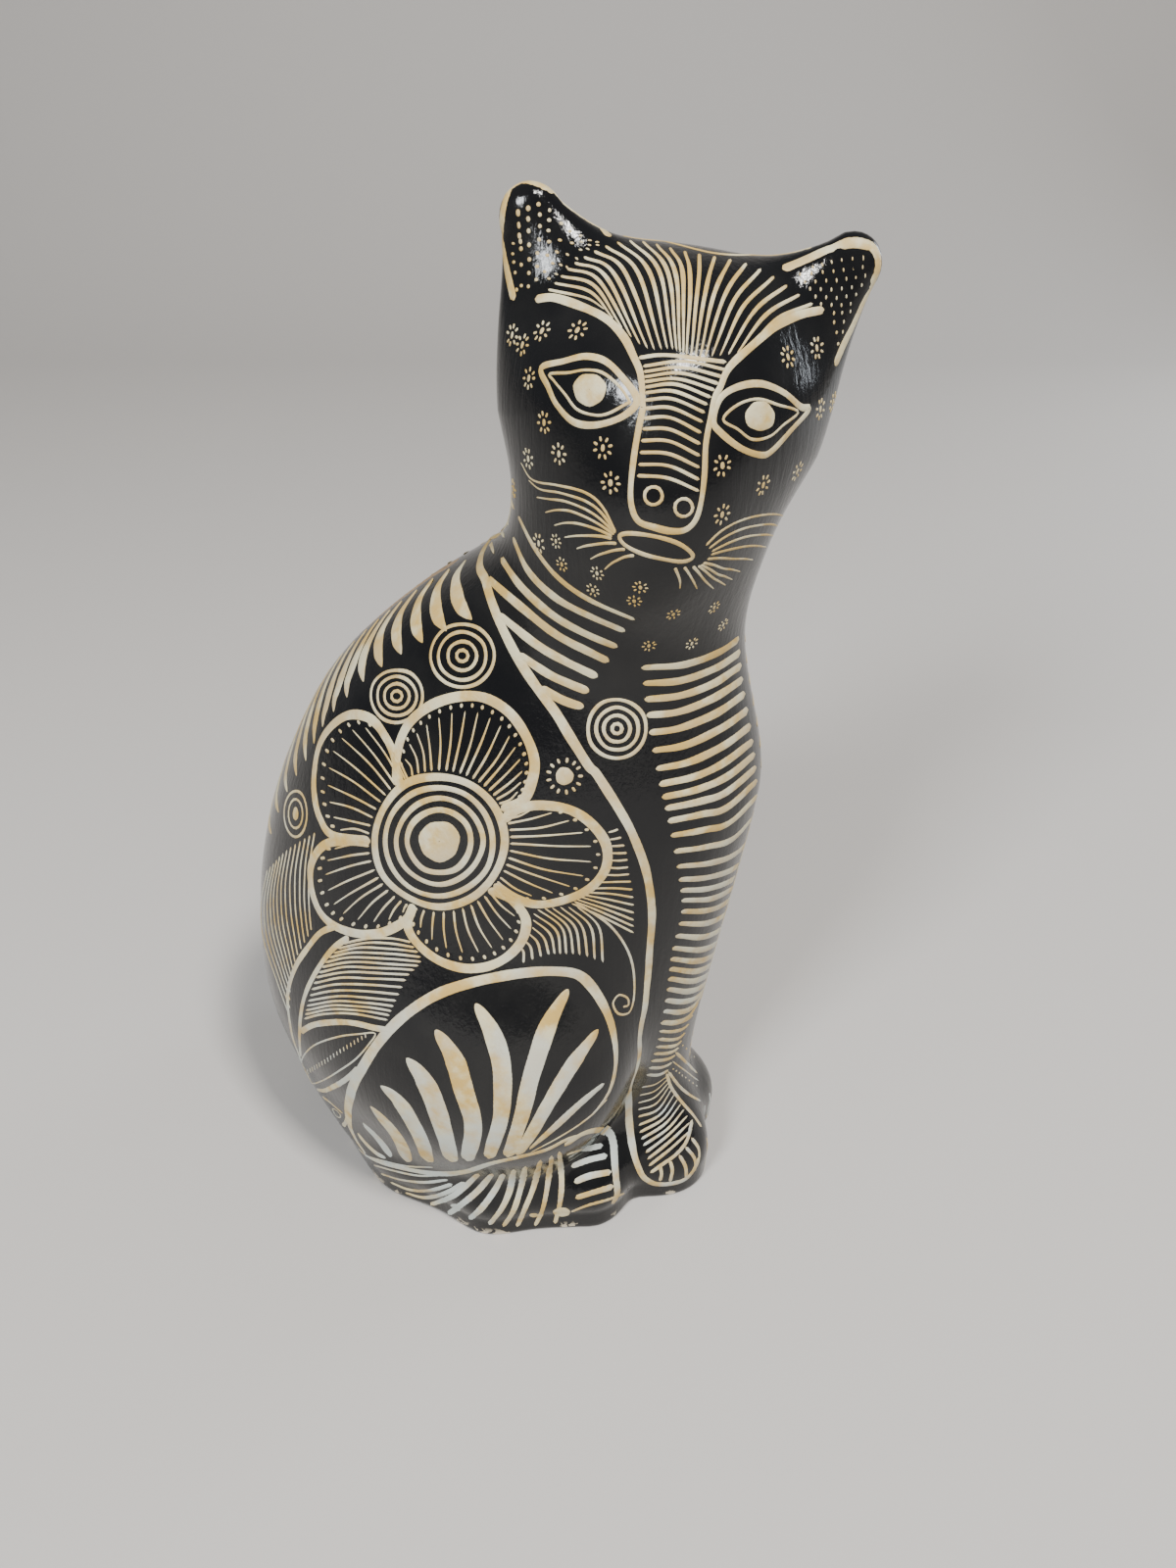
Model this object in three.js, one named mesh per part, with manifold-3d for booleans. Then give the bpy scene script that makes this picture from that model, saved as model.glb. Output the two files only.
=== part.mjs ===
// A seated ceramic cat that is a coin bank, in millimetres with +Z up.
// It sits facing -Y and turns its head to its own right, which is -X. It is one hollow piece of
// fired clay with a flat underside and a coin slot cut straight down along the spine.
import * as THREE from "three";
import { mergeVertices } from "three/addons/utils/BufferGeometryUtils.js";
import Module from "manifold-3d";

const wasm = await Module();
wasm.setup();

// Sizes that are set by themselves
const HEIGHT = 300;
const WALL = 6;
const FLOOR_THICKNESS = 7;
const BASE_EDGE = 1.2;
const SLOT_LENGTH = 32;
const SLOT_WIDTH = 5.5;
const SLOT_BACK = 26;

// The free form is drawn for a cat 300 units high, so every length in it is taken times this
const unit = HEIGHT / 300;
const at = (x, y, z) => new THREE.Vector3(x, y, z).multiplyScalar(unit);
const up = new THREE.Vector3(0, 0, 1);

// Sections of the trunk from below the table to inside the head: level, front, back, half width
const TRUNK = [
  [-30, -14, 46, 34],
  [0, -20, 58, 42],
  [30, -32, 75, 52],
  [60, -45, 84, 57],
  [90, -56, 83, 56],
  [120, -64, 76, 52],
  [150, -69, 63, 47],
  [175, -69, 47, 40],
  [200, -65, 20, 32],
  [220, -61, -8, 27],
  [245, -60, -22, 27],
  [275, -60, -22, 27],
].map((row) => row.map((size) => size * unit));
const TRUNK_TOP = 263 * unit;

// How fast each column of the sections changes at each level, so that the curve through them is smooth
const trunkSlopes = TRUNK.map((row, i) => row.map((size, column) => {
  const below = TRUNK[Math.max(i - 1, 0)];
  const above = TRUNK[Math.min(i + 1, TRUNK.length - 1)];
  if (below === row || above === row) {
    return (above[column] - below[column]) / (above[0] - below[0]);
  }
  const steepBelow = (size - below[column]) / (row[0] - below[0]);
  const steepAbove = (above[column] - size) / (above[0] - row[0]);
  const span = above[0] - below[0];
  return (steepBelow * (above[0] - row[0]) + steepAbove * (row[0] - below[0])) / span;
}));

// How widely neighbouring forms flow into each other
const SOFT_BODY = 8 * unit;
const SOFT_HEAD = 5 * unit;
const SOFT_LIMB = 4 * unit;
const SOFT_TAIL = 3 * unit;

// The head: its centre, and its turn to the right and tilt in degrees
const HEAD_CENTRE = at(-3.2, -45.1, 247.5);
const HEAD_TURN = -73;
const HEAD_TILT = 8;
const headFrame = new THREE.Quaternion().setFromEuler(
  new THREE.Euler(0, THREE.MathUtils.degToRad(HEAD_TILT), THREE.MathUtils.degToRad(HEAD_TURN), "ZXY"),
);
const headFrameBack = headFrame.clone().invert();
const EAR_FLATNESS = 1.7;

// Feet, paws and tail go straight down to the table below this level
const SIT_LEVEL = 8 * unit;

// Every form below is a function of a point that is negative inside the clay and about the
// distance to the surface, in millimetres. The inset makes the same form smaller by that much.
function ball(point, centre, radii, inset) {
  const x = (point.x - centre.x) / (radii.x - inset);
  const y = (point.y - centre.y) / (radii.y - inset);
  const z = (point.z - centre.z) / (radii.z - inset);
  const near = Math.sqrt(x * x + y * y + z * z) + 1e-9;
  const slope = Math.sqrt(
    (x / (radii.x - inset)) ** 2 + (y / (radii.y - inset)) ** 2 + (z / (radii.z - inset)) ** 2,
  ) + 1e-9;
  return (near * (near - 1)) / slope;
}

const along = new THREE.Vector3();
const away = new THREE.Vector3();
function limb(point, start, end, startRadius, endRadius, inset) {
  along.subVectors(end, start);
  away.subVectors(point, start);
  const t = THREE.MathUtils.clamp(away.dot(along) / along.lengthSq(), 0, 1);
  return away.addScaledVector(along, -t).length() - THREE.MathUtils.lerp(startRadius, endRadius, t) + inset;
}

function join(reach, forms) {
  const least = Math.min(...forms);
  const sum = forms.reduce((total, form) => total + Math.exp((least - form) / reach), 0);
  return least - reach * Math.log(sum);
}

// A smooth curve through one column of the sections of the trunk
function section(level, column) {
  let i = 0;
  while (i < TRUNK.length - 2 && TRUNK[i + 1][0] < level) {
    i += 1;
  }
  const step = TRUNK[i + 1][0] - TRUNK[i][0];
  const t = THREE.MathUtils.clamp((level - TRUNK[i][0]) / step, 0, 1);
  return (2 * t ** 3 - 3 * t ** 2 + 1) * TRUNK[i][column]
    + (t ** 3 - 2 * t ** 2 + t) * step * trunkSlopes[i][column]
    + (3 * t ** 2 - 2 * t ** 3) * TRUNK[i + 1][column]
    + (t ** 3 - t ** 2) * step * trunkSlopes[i + 1][column];
}

const middle = (level) => (section(level, 1) + section(level, 2)) / 2;

function trunk(point, inset) {
  const deep = (section(point.z, 2) - section(point.z, 1)) / 2 - inset;
  const wide = section(point.z, 3) - inset;
  const y = point.y - middle(point.z);
  const near = Math.sqrt((point.x / wide) ** 2 + (y / deep) ** 2) + 1e-9;
  const slope = Math.sqrt((point.x / wide ** 2) ** 2 + (y / deep ** 2) ** 2) + 1e-9;
  const side = near < 0.2 ? -0.8 * Math.min(wide, deep) : (near * (near - 1)) / slope;
  const top = point.z - TRUNK_TOP + inset;
  return -join(SOFT_LIMB, [-side, -top]);
}

// Skull, jaw and muzzle, in the head's own directions: x to its left, y backwards
const SKULL = [at(0, 4, 6), at(34.5, 32, 32)];
const JAW = [at(0, 0, -20), at(26.5, 27, 30)];
const MUZZLE = [at(0, -22, -9), at(14, 14, 22)];
const inHead = (point) => point.clone().sub(HEAD_CENTRE).applyQuaternion(headFrameBack);

function head(point, inset) {
  const p = inHead(point);
  return [ball(p, ...SKULL, inset), ball(p, ...JAW, inset), ball(p, ...MUZZLE, inset)];
}

// An ear is a tapered limb made thinner from front to back
const flat = new THREE.Vector3(1, EAR_FLATNESS, 1);
const EAR_BONES = [-1, 1].map((side) => [at(side * 17, 4, 14), at(side * 35.5, 4.5, 41)]);
EAR_BONES.flat().forEach((end) => end.multiply(flat));
const EAR_RADII = [20 * unit, 6.5 * unit];

function ears(point) {
  const p = inHead(point).multiply(flat);
  return EAR_BONES.map((ends) => limb(p, ...ends, ...EAR_RADII, 0) / Math.sqrt(EAR_FLATNESS));
}

// The straight front legs are one column, split into two paws at the table
const LEG_BONE = [at(-1, -46, 150), at(-3, -43, 22)];
const LEG_RADII = [25 * unit, 15 * unit];
const PAWS = [
  [at(-14, -52, 9), at(14, 19, 17)],
  [at(11, -49, 9), at(13, 18, 16)],
];
const THIGH_RADII = at(28, 42, 44);
const THIGHS = [at(-38, -6, 66), at(38, -6, 66)];

// The right hind foot lies forward along the table under its thigh
const FOOT = [
  [at(-22, 41, 13), 12 * unit],
  [at(-36, 22, 12), 13.5 * unit],
  [at(-44, -8, 12), 12.5 * unit],
  [at(-35, -37, 12), 12 * unit],
];

// The flat seat that fills the table level between trunk, feet and tail
const SEAT = [at(4, 4, 8), at(49, 57, 13)];

// The tail lies round the left side on the table, and its tip ends by the front paws
const TAIL = [
  [at(-21, 57, 25), 10 * unit],
  [at(3, 72, 19), 13 * unit],
  [at(28, 73, 16), 14 * unit],
  [at(49, 54, 16), 14 * unit],
  [at(57, 18, 15), 13 * unit],
  [at(46, -15, 14), 11 * unit],
  [at(26, -37, 12), 9 * unit],
];

function chain(point, bones) {
  return bones.slice(1).map(([end, radius], i) => limb(point, bones[i][0], end, bones[i][1], radius, 0));
}

// What the outside and the hollow share
function core(point, inset) {
  return [
    trunk(point, inset),
    ...THIGHS.map((centre) => ball(point, centre, THIGH_RADII, inset)),
    limb(point, ...LEG_BONE, ...LEG_RADII, inset),
  ];
}

function outside(point) {
  const low = point.clone().setZ(Math.max(point.z, SIT_LEVEL));
  return join(SOFT_LIMB, [
    join(SOFT_BODY, [
      ...core(point, 0),
      join(SOFT_LIMB, [ball(low, ...SEAT, 0), ...PAWS.map((paw) => ball(low, ...paw, 0))]),
      join(SOFT_HEAD, [...head(point, 0), ...ears(point)]),
    ]),
    join(SOFT_TAIL, chain(low, FOOT)),
    join(SOFT_TAIL, chain(low, TAIL)),
  ]);
}

const hollow = (point) => join(SOFT_BODY, [...core(point, WALL), join(SOFT_HEAD, head(point, WALL))]);

// The distance from an origin along a direction to the surface of a form: steps of a share of the
// depth, never less than the least, until the point is outside, then the last step is halved
const REACH_SHARE = 0.9;
const LEAST_REACH = 2 * unit;
const HALVINGS = 9;
function reachOf(form, origin, direction) {
  const probe = (distance) => form(origin.clone().addScaledVector(direction, distance));
  let inner = 0;
  let outer = 0;
  let depth = probe(0);
  while (depth < 0) {
    inner = outer;
    outer += Math.max(-REACH_SHARE * depth, LEAST_REACH);
    depth = probe(outer);
  }
  for (let halving = 0; halving < HALVINGS; halving += 1) {
    const half = (inner + outer) / 2;
    if (probe(half) < 0) {
      inner = half;
    } else {
      outer = half;
    }
  }
  return (inner + outer) / 2;
}

// A closed skin over a form. Each row has an origin and an angle from the upright; its points lie
// where rays round the upright leave the form. A row can have as many points as the row under it,
// or twice as many. The first row is closed flat, and the last one over the crown.
function skin(form, rows) {
  const points = [];
  const faces = [];
  for (const row of rows) {
    row.start = points.length;
    for (let column = 0; column < row.columns; column += 1) {
      const turn = (2 * Math.PI * column) / row.columns;
      const direction = new THREE.Vector3().setFromSphericalCoords(1, row.polar, turn).applyAxisAngle(
        new THREE.Vector3(1, 0, 0),
        Math.PI / 2,
      );
      const radius = reachOf(form, row.origin, direction) - row.inset;
      points.push(row.origin.clone().addScaledVector(direction, radius));
    }
  }
  const bottom = points.push(rows[0].origin.clone()) - 1;
  const crown = rows[rows.length - 1];
  const top = points.push(crown.origin.clone().addScaledVector(up, reachOf(form, crown.origin, up))) - 1;
  for (let i = 0; i < rows[0].columns; i += 1) {
    faces.push(bottom, rows[0].start + ((i + 1) % rows[0].columns), rows[0].start + i);
  }
  for (let i = 0; i < crown.columns; i += 1) {
    faces.push(top, crown.start + i, crown.start + ((i + 1) % crown.columns));
  }
  rows.slice(1).forEach((above, index) => {
    const below = rows[index];
    const split = above.columns / below.columns;
    for (let i = 0; i < below.columns; i += 1) {
      const left = below.start + i;
      const right = below.start + ((i + 1) % below.columns);
      const over = [...Array(split + 1).keys()].map((k) => above.start + ((i * split + k) % above.columns));
      faces.push(left, right, over[split]);
      for (let k = 0; k < split; k += 1) {
        faces.push(left, over[k + 1], over[k]);
      }
    }
  });
  const geometry = new THREE.BufferGeometry().setFromPoints(points);
  geometry.setIndex(faces);
  return geometry;
}

// Rows at even steps between levels on the trunk's middle line
function levelRows(from, to, step, columns) {
  const count = Math.max(1, Math.round((to - from) / step));
  return [...Array(count).keys()].map((k) => {
    const level = from + ((to - from) * k) / count;
    return { origin: new THREE.Vector3(0, middle(level), level), polar: Math.PI / 2, columns, inset: 0 };
  });
}

// Rows that fan out over the crown from the middle of the head
function crownRows(level, count, columns) {
  const origin = new THREE.Vector3(0, middle(level), level);
  return [...Array(count).keys()].map((k) => ({
    origin,
    polar: (Math.PI / 2) * (1 - k / count),
    columns,
    inset: 0,
  }));
}

function toSolid(geometry) {
  const plain = new THREE.BufferGeometry();
  plain.setAttribute("position", geometry.getAttribute("position"));
  plain.setIndex(geometry.getIndex());
  const merged = mergeVertices(plain, 1e-4);
  return new wasm.Manifold(new wasm.Mesh({
    numProp: 3,
    vertProperties: new Float32Array(merged.getAttribute("position").array),
    triVerts: new Uint32Array(merged.getIndex().array),
  }));
}

function toGeometry(solid) {
  const mesh = solid.getMesh();
  const geometry = new THREE.BufferGeometry();
  geometry.setAttribute("position", new THREE.BufferAttribute(new Float32Array(mesh.vertProperties), 3));
  geometry.setIndex(new THREE.BufferAttribute(new Uint32Array(mesh.triVerts), 1));
  geometry.computeVertexNormals();
  return geometry;
}

const FEET_LEVEL = 50 * unit;
const NECK_LEVEL = 208 * unit;
const CROWN_LEVEL = 250 * unit;
const BODY_COLUMNS = 56;
const HOLLOW_COLUMNS = 30;

// How far apart the rows of points are: round the feet, up the body, over the face and in the hollow
const FEET_STEP = 5 * unit;
const BODY_STEP = 10 * unit;
const FACE_STEP = 8 * unit;
const CROWN_ROWS = 15;
const HOLLOW_FEET_STEP = 9 * unit;
const HOLLOW_BODY_STEP = 13 * unit;
const HOLLOW_CROWN_ROWS = 5;

// The outside. Its lowest row is drawn in a little, which eases the edge round the base.
const outerRows = [
  ...levelRows(0, BASE_EDGE, BASE_EDGE, BODY_COLUMNS),
  ...levelRows(BASE_EDGE, FEET_LEVEL, FEET_STEP, BODY_COLUMNS),
  ...levelRows(FEET_LEVEL, NECK_LEVEL, BODY_STEP, BODY_COLUMNS),
  ...levelRows(NECK_LEVEL, CROWN_LEVEL, FACE_STEP, 2 * BODY_COLUMNS),
  ...crownRows(CROWN_LEVEL, CROWN_ROWS, 2 * BODY_COLUMNS),
];
outerRows[0].inset = BASE_EDGE;

// The hollow, one wall inside the outside, above a clay floor
const hollowRows = [
  ...levelRows(FLOOR_THICKNESS, FEET_LEVEL, HOLLOW_FEET_STEP, HOLLOW_COLUMNS),
  ...levelRows(FEET_LEVEL, CROWN_LEVEL, HOLLOW_BODY_STEP, HOLLOW_COLUMNS),
  ...crownRows(CROWN_LEVEL, HOLLOW_CROWN_ROWS, HOLLOW_COLUMNS),
];

// The coin slot lies along the spine and runs straight down through the slope into the hollow
const SLOT_WALLS_PASSED = 3;
const SLOT_END_SEGMENTS = 6;
const slotShape = new THREE.Shape();
const slotStraight = (SLOT_LENGTH - SLOT_WIDTH) / 2;
slotShape.absarc(0, slotStraight, SLOT_WIDTH / 2, 0, Math.PI);
slotShape.absarc(0, -slotStraight, SLOT_WIDTH / 2, Math.PI, 2 * Math.PI);
slotShape.closePath();
const underSlot = new THREE.Vector3(0, SLOT_BACK, FEET_LEVEL);
const roof = FEET_LEVEL + reachOf(hollow, underSlot, up);
const mouth = FEET_LEVEL + reachOf(outside, underSlot, up);
const slotRun = SLOT_LENGTH / 2 + SLOT_WALLS_PASSED * WALL;
const slotCutter = new THREE.ExtrudeGeometry(slotShape, {
  depth: mouth - roof + 2 * slotRun,
  bevelEnabled: false,
  curveSegments: SLOT_END_SEGMENTS,
});
slotCutter.translate(0, SLOT_BACK, roof - slotRun);

const cat = toSolid(skin(outside, outerRows))
  .subtract(toSolid(skin(hollow, hollowRows)))
  .subtract(toSolid(slotCutter));

// Black glossy fired clay
const clay = new THREE.MeshStandardMaterial({ color: 0x16171a, roughness: 0.28, metalness: 0 });
const body = new THREE.Mesh(toGeometry(cat), clay);
body.name = "cat_bank";

const bank = new THREE.Group();
bank.name = "ceramic_cat_coin_bank";
bank.add(body);

export default bank;
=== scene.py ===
"""A seated cat coin bank of black fired clay with patterns scratched through to the cream clay."""

import math

import bpy
import numpy as np
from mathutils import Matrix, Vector


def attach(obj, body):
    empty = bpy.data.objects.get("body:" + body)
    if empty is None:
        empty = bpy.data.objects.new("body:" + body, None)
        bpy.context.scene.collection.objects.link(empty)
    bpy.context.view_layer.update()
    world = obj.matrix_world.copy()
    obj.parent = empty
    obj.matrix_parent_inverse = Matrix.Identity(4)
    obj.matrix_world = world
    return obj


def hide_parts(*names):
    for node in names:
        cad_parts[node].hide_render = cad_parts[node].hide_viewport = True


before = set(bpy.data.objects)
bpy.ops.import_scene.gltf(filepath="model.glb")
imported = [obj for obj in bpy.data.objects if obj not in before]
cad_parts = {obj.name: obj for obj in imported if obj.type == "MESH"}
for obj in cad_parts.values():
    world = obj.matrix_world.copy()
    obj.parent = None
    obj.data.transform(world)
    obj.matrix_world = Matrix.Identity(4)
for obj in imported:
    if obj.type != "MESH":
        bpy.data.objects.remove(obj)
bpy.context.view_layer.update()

# The cat itself: one hollow piece of press-moulded earthenware, dipped in black slip and burnished.
# It sits facing -Y, turns its head to its right, -X, and is about 300 mm high. Its form is a
# function of a point, negative inside the clay, and the mesh is where rays from inside leave it.
MM = 0.001
WALL = 6.0
FLOOR_THICKNESS = 7.0
BASE_EDGE = 1.2
SIT_LEVEL = 8.0
TRUNK_TOP, CORE_SHARE = 263.0, 0.2
SOFT_BODY, SOFT_HEAD, SOFT_LIMB, SOFT_TAIL = 8.0, 5.0, 4.0, 3.0
TRUNK = np.array([
    (-30, -14, 46, 34),
    (0, -20, 58, 42),
    (30, -32, 75, 52),
    (60, -45, 84, 57),
    (90, -56, 83, 56),
    (120, -64, 76, 52),
    (150, -69, 63, 47),
    (175, -69, 47, 40),
    (200, -65, 20, 32),
    (220, -61, -8, 27),
    (245, -60, -22, 27),
    (275, -60, -22, 27),
], float)
HEAD_CENTRE = np.array((-3.2, -45.1, 247.5))
HEAD_TURN, HEAD_TILT = math.radians(-73), math.radians(8)
SKULL, JAW = ((0, 4, 6), (34.5, 32, 32)), ((0, 0, -20), (26.5, 27, 30))
MUZZLE = ((0, -22, -9), (14, 14, 22))
EAR_ROOT, EAR_ROOT_RADIUS = (17, 4, 14), 20
EAR_TIP, EAR_TIP_RADIUS, EAR_FLATNESS = (35.5, 4.5, 41), 6.5, 1.7
THIGH_CENTRE, THIGH_RADII = (38, -6, 66), (28, 42, 44)
FRONT_LEGS = ((-1, -46, 150, 25), (-3, -43, 22, 15))
SEAT = ((4, 4, 8), (49, 57, 13))
PAWS = (((-14, -52, 9), (14, 19, 17)), ((11, -49, 9), (13, 18, 16)))
FOOT = ((-22, 41, 13, 12), (-36, 22, 12, 13.5), (-44, -8, 12, 12.5), (-35, -37, 12, 12))
TAIL = ((-21, 57, 25, 10), (3, 72, 19, 13), (28, 73, 16, 14), (49, 54, 16, 14), (57, 18, 15, 13),
        (46, -15, 14, 11), (26, -37, 12, 9))


def head_axes():
    """The head's own directions as the columns of a matrix: a tilt round y, then a turn round z."""
    turn = np.array(((math.cos(HEAD_TURN), -math.sin(HEAD_TURN)), (math.sin(HEAD_TURN), math.cos(HEAD_TURN))))
    tilt = np.array(((math.cos(HEAD_TILT), math.sin(HEAD_TILT)), (-math.sin(HEAD_TILT), math.cos(HEAD_TILT))))
    about_z, about_y = np.eye(3), np.eye(3)
    about_z[:2, :2] = turn
    about_y[::2, ::2] = tilt
    return about_z @ about_y


HEAD_AXES = head_axes()


def ball(p, centre, radii, inset=0.0):
    """Ellipsoid: (near - 1) * near / slope, with near the length of the point over the radii."""
    q = p - np.array(centre, float)
    r = np.array(radii, float) - inset
    near = np.sqrt(((q / r) ** 2).sum(-1)) + 1e-9
    slope = np.sqrt(((q / r ** 2) ** 2).sum(-1)) + 1e-9
    return near * (near - 1) / slope


def limb(p, start, end, inset=0.0):
    """Tapered limb: the distance to a line less a radius that goes evenly from end to end."""
    a, b = np.array(start[:3], float), np.array(end[:3], float)
    t = np.clip((p - a) @ (b - a) / ((b - a) @ (b - a)), 0, 1)
    return np.linalg.norm(p - a - t[..., None] * (b - a), axis=-1) - start[3] - (end[3] - start[3]) * t + inset


def join(reach, *forms):
    """Soft union: the least form less reach times the logarithm of the summed exponentials."""
    d = np.stack(forms)
    least = d.min(0)
    return least - reach * np.log(np.exp((least - d) / reach).sum(0))


def section(level, column):
    """One column of the trunk's sections at any level, by a cubic through them with even slopes."""
    at, size = TRUNK[:, 0], TRUNK[:, column]
    slope = np.gradient(size, at)
    i = np.clip(np.searchsorted(at, level) - 1, 0, len(at) - 2)
    step = at[i + 1] - at[i]
    t = np.clip((level - at[i]) / step, 0, 1)
    return ((2 * t**3 - 3 * t**2 + 1) * size[i] + (t**3 - 2 * t**2 + t) * step * slope[i]
            + (3 * t**2 - 2 * t**3) * size[i + 1] + (t**3 - t**2) * step * slope[i + 1])


def middle(level):
    """The trunk's middle line: halfway between front and back."""
    return (section(level, 1) + section(level, 2)) / 2


def trunk(p, inset=0.0):
    """Stacked ellipses through the sections, ended softly inside the head."""
    z = p[..., 2]
    deep = (section(z, 2) - section(z, 1)) / 2 - inset
    wide = section(z, 3) - inset
    x, y = p[..., 0], p[..., 1] - middle(z)
    near = np.sqrt((x / wide) ** 2 + (y / deep) ** 2) + 1e-9
    slope = np.sqrt((x / wide**2) ** 2 + (y / deep**2) ** 2) + 1e-9
    side = np.where(near < CORE_SHARE, -(1 - CORE_SHARE) * np.minimum(wide, deep), near * (near - 1) / slope)
    return -join(SOFT_LIMB, -side, TRUNK_TOP - inset - z)


def head(p, inset=0.0):
    """Skull, jaw and muzzle, in the head's own directions."""
    q = (p - HEAD_CENTRE) @ HEAD_AXES
    return [ball(q, *part, inset) for part in (SKULL, JAW, MUZZLE)]


def ears(p):
    """Each ear is a tapered limb made thinner from front to back."""
    flat = np.array((1, EAR_FLATNESS, 1))
    root, tip = np.array(EAR_ROOT) * flat, np.array(EAR_TIP) * flat
    q = (p - HEAD_CENTRE) @ HEAD_AXES * flat
    return [limb(q, (*(root * (side, 1, 1)), EAR_ROOT_RADIUS), (*(tip * (side, 1, 1)), EAR_TIP_RADIUS))
            / math.sqrt(EAR_FLATNESS) for side in (-1, 1)]


def core(p, inset=0.0):
    """Trunk, two thighs and the column of the front legs."""
    thighs = [ball(p, np.array(THIGH_CENTRE) * (side, 1, 1), THIGH_RADII, inset) for side in (-1, 1)]
    return (trunk(p, inset), *thighs, limb(p, *FRONT_LEGS, inset))


def chain(p, bones):
    """Limbs joined end to end."""
    return join(SOFT_TAIL, *[limb(p, a, b) for a, b in zip(bones, bones[1:])])


def outside(p):
    """The whole cat. Feet, paws, seat and tail go straight down to the table below one level."""
    low = np.concatenate([p[..., :2], np.maximum(p[..., 2:], SIT_LEVEL)], -1)
    table = join(SOFT_LIMB, ball(low, *SEAT), *[ball(low, *paw) for paw in PAWS])
    body = join(SOFT_BODY, *core(p), table, join(SOFT_HEAD, *head(p), *ears(p)))
    return join(SOFT_LIMB, body, chain(low, FOOT), chain(low, TAIL))


def hollow(p):
    """The same trunk, thighs, legs and head, one wall smaller."""
    return join(SOFT_BODY, *core(p, WALL), join(SOFT_HEAD, *head(p, WALL)))


MOST_STEPS, STEP_SHARE, LEAST_STEP, HALVINGS = 60, 0.9, 2.0, 14


def way_out(form, origin, direction):
    """How far rays go from inside to the surface: steps a share of the depth, then halves."""
    inner = np.zeros(origin.shape[:-1])
    outer = inner.copy()
    for _ in range(MOST_STEPS):
        depth = form(origin + outer[..., None] * direction)
        inside = depth < 0
        if not inside.any():
            break
        inner = np.where(inside, outer, inner)
        outer = np.where(inside, outer + np.maximum(-STEP_SHARE * depth, LEAST_STEP), outer)
    for _ in range(HALVINGS):
        half = (inner + outer) / 2
        inside = form(origin + half[..., None] * direction) < 0
        inner, outer = np.where(inside, half, inner), np.where(inside, outer, half)
    return (inner + outer) / 2


FEET_LEVEL, NECK_LEVEL, CROWN_LEVEL = 50.0, 208.0, 250.0


def skin(form, levels, insets, crown, columns):
    """Points of a closed skin: rays round the middle line at each level, then a fan over the crown."""
    top = CROWN_LEVEL
    level = np.concatenate([levels, np.full(crown, top)])
    polar = np.concatenate([np.full(len(levels), math.pi / 2), math.pi / 2 * (1 - np.arange(crown) / crown)])
    turn = 2 * math.pi * np.arange(columns) / columns
    origin = np.stack([0 * level, middle(level), level], -1)[:, None] + np.zeros((1, columns, 1))
    direction = np.stack([np.sin(polar)[:, None] * np.cos(turn), np.sin(polar)[:, None] * np.sin(turn),
                          np.cos(polar)[:, None] + 0 * turn], -1)
    inset = np.concatenate([insets, np.zeros(len(level) - len(insets))])[:, None]
    rows = origin + (way_out(form, origin, direction) - inset)[..., None] * direction
    tip = np.array(((0, middle(top), top),))
    up = np.array(((0, 0, 1.0),))
    return rows, origin[0, 0], (tip + way_out(form, tip, up)[:, None] * up)[0]


def grid_faces(rows, columns, wrap=True):
    """Quads of a grid of points, closed round the columns where it wraps."""
    i = np.arange(rows - 1)[:, None] * columns
    j = np.arange(columns if wrap else columns - 1)[None]
    k = (j + 1) % columns
    return np.stack([i + j, i + k, i + columns + k, i + columns + j], -1).reshape(-1, 4)


def closed_skin(form, levels, insets, crown, columns):
    """Vertices, quads and end triangles of a skin, with a flat fan below and a pole on the crown."""
    rows, low, high = skin(form, levels, insets, crown, columns)
    count = rows.shape[0] * columns
    verts = np.concatenate([rows.reshape(-1, 3), low[None], high[None]])
    j = np.arange(columns)
    k = (j + 1) % columns
    bottom = np.stack([0 * j + count, k, j], -1)
    top = np.stack([0 * j + count + 1, count - columns + j, count - columns + k], -1)
    return verts, grid_faces(rows.shape[0], columns), np.concatenate([bottom, top])


BASE_LEVELS, FINE_STEP, BODY_STEP = (0, 0.15, 0.5), 1.1, 1.35
OUTER_COLUMNS, OUTER_CROWN_ROWS = 288, 80
INNER_COLUMNS, INNER_CROWN_ROWS, INNER_ROWS, BELOW_CROWN = 96, 12, 56, 2
outer_levels = np.concatenate([
    BASE_LEVELS, np.arange(BASE_EDGE, FEET_LEVEL, FINE_STEP), np.arange(FEET_LEVEL, NECK_LEVEL, BODY_STEP),
    np.arange(NECK_LEVEL, CROWN_LEVEL, FINE_STEP)])
edge_insets = (BASE_EDGE, BASE_EDGE / 2, BASE_EDGE / 5)
inner_levels = np.linspace(FLOOR_THICKNESS, CROWN_LEVEL - BELOW_CROWN, INNER_ROWS)
outer = closed_skin(outside, outer_levels, edge_insets, OUTER_CROWN_ROWS, OUTER_COLUMNS)
inner = closed_skin(hollow, inner_levels, (), INNER_CROWN_ROWS, INNER_COLUMNS)


def mesh_of(name, verts, polygons):
    """A mesh object from vertices in millimetres and lists of equal-sided polygon arrays."""
    mesh = bpy.data.meshes.new(name)
    lists = [tuple(p) for block in polygons for p in block.tolist()]
    mesh.from_pydata((verts * MM).tolist(), [], lists)
    mesh.validate()
    item = bpy.data.objects.new(name, mesh)
    bpy.context.scene.collection.objects.link(item)
    return item


cat = mesh_of("cat_clay", outer[0], outer[1:])
cavity = mesh_of("cat_hollow", inner[0], inner[1:])

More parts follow.
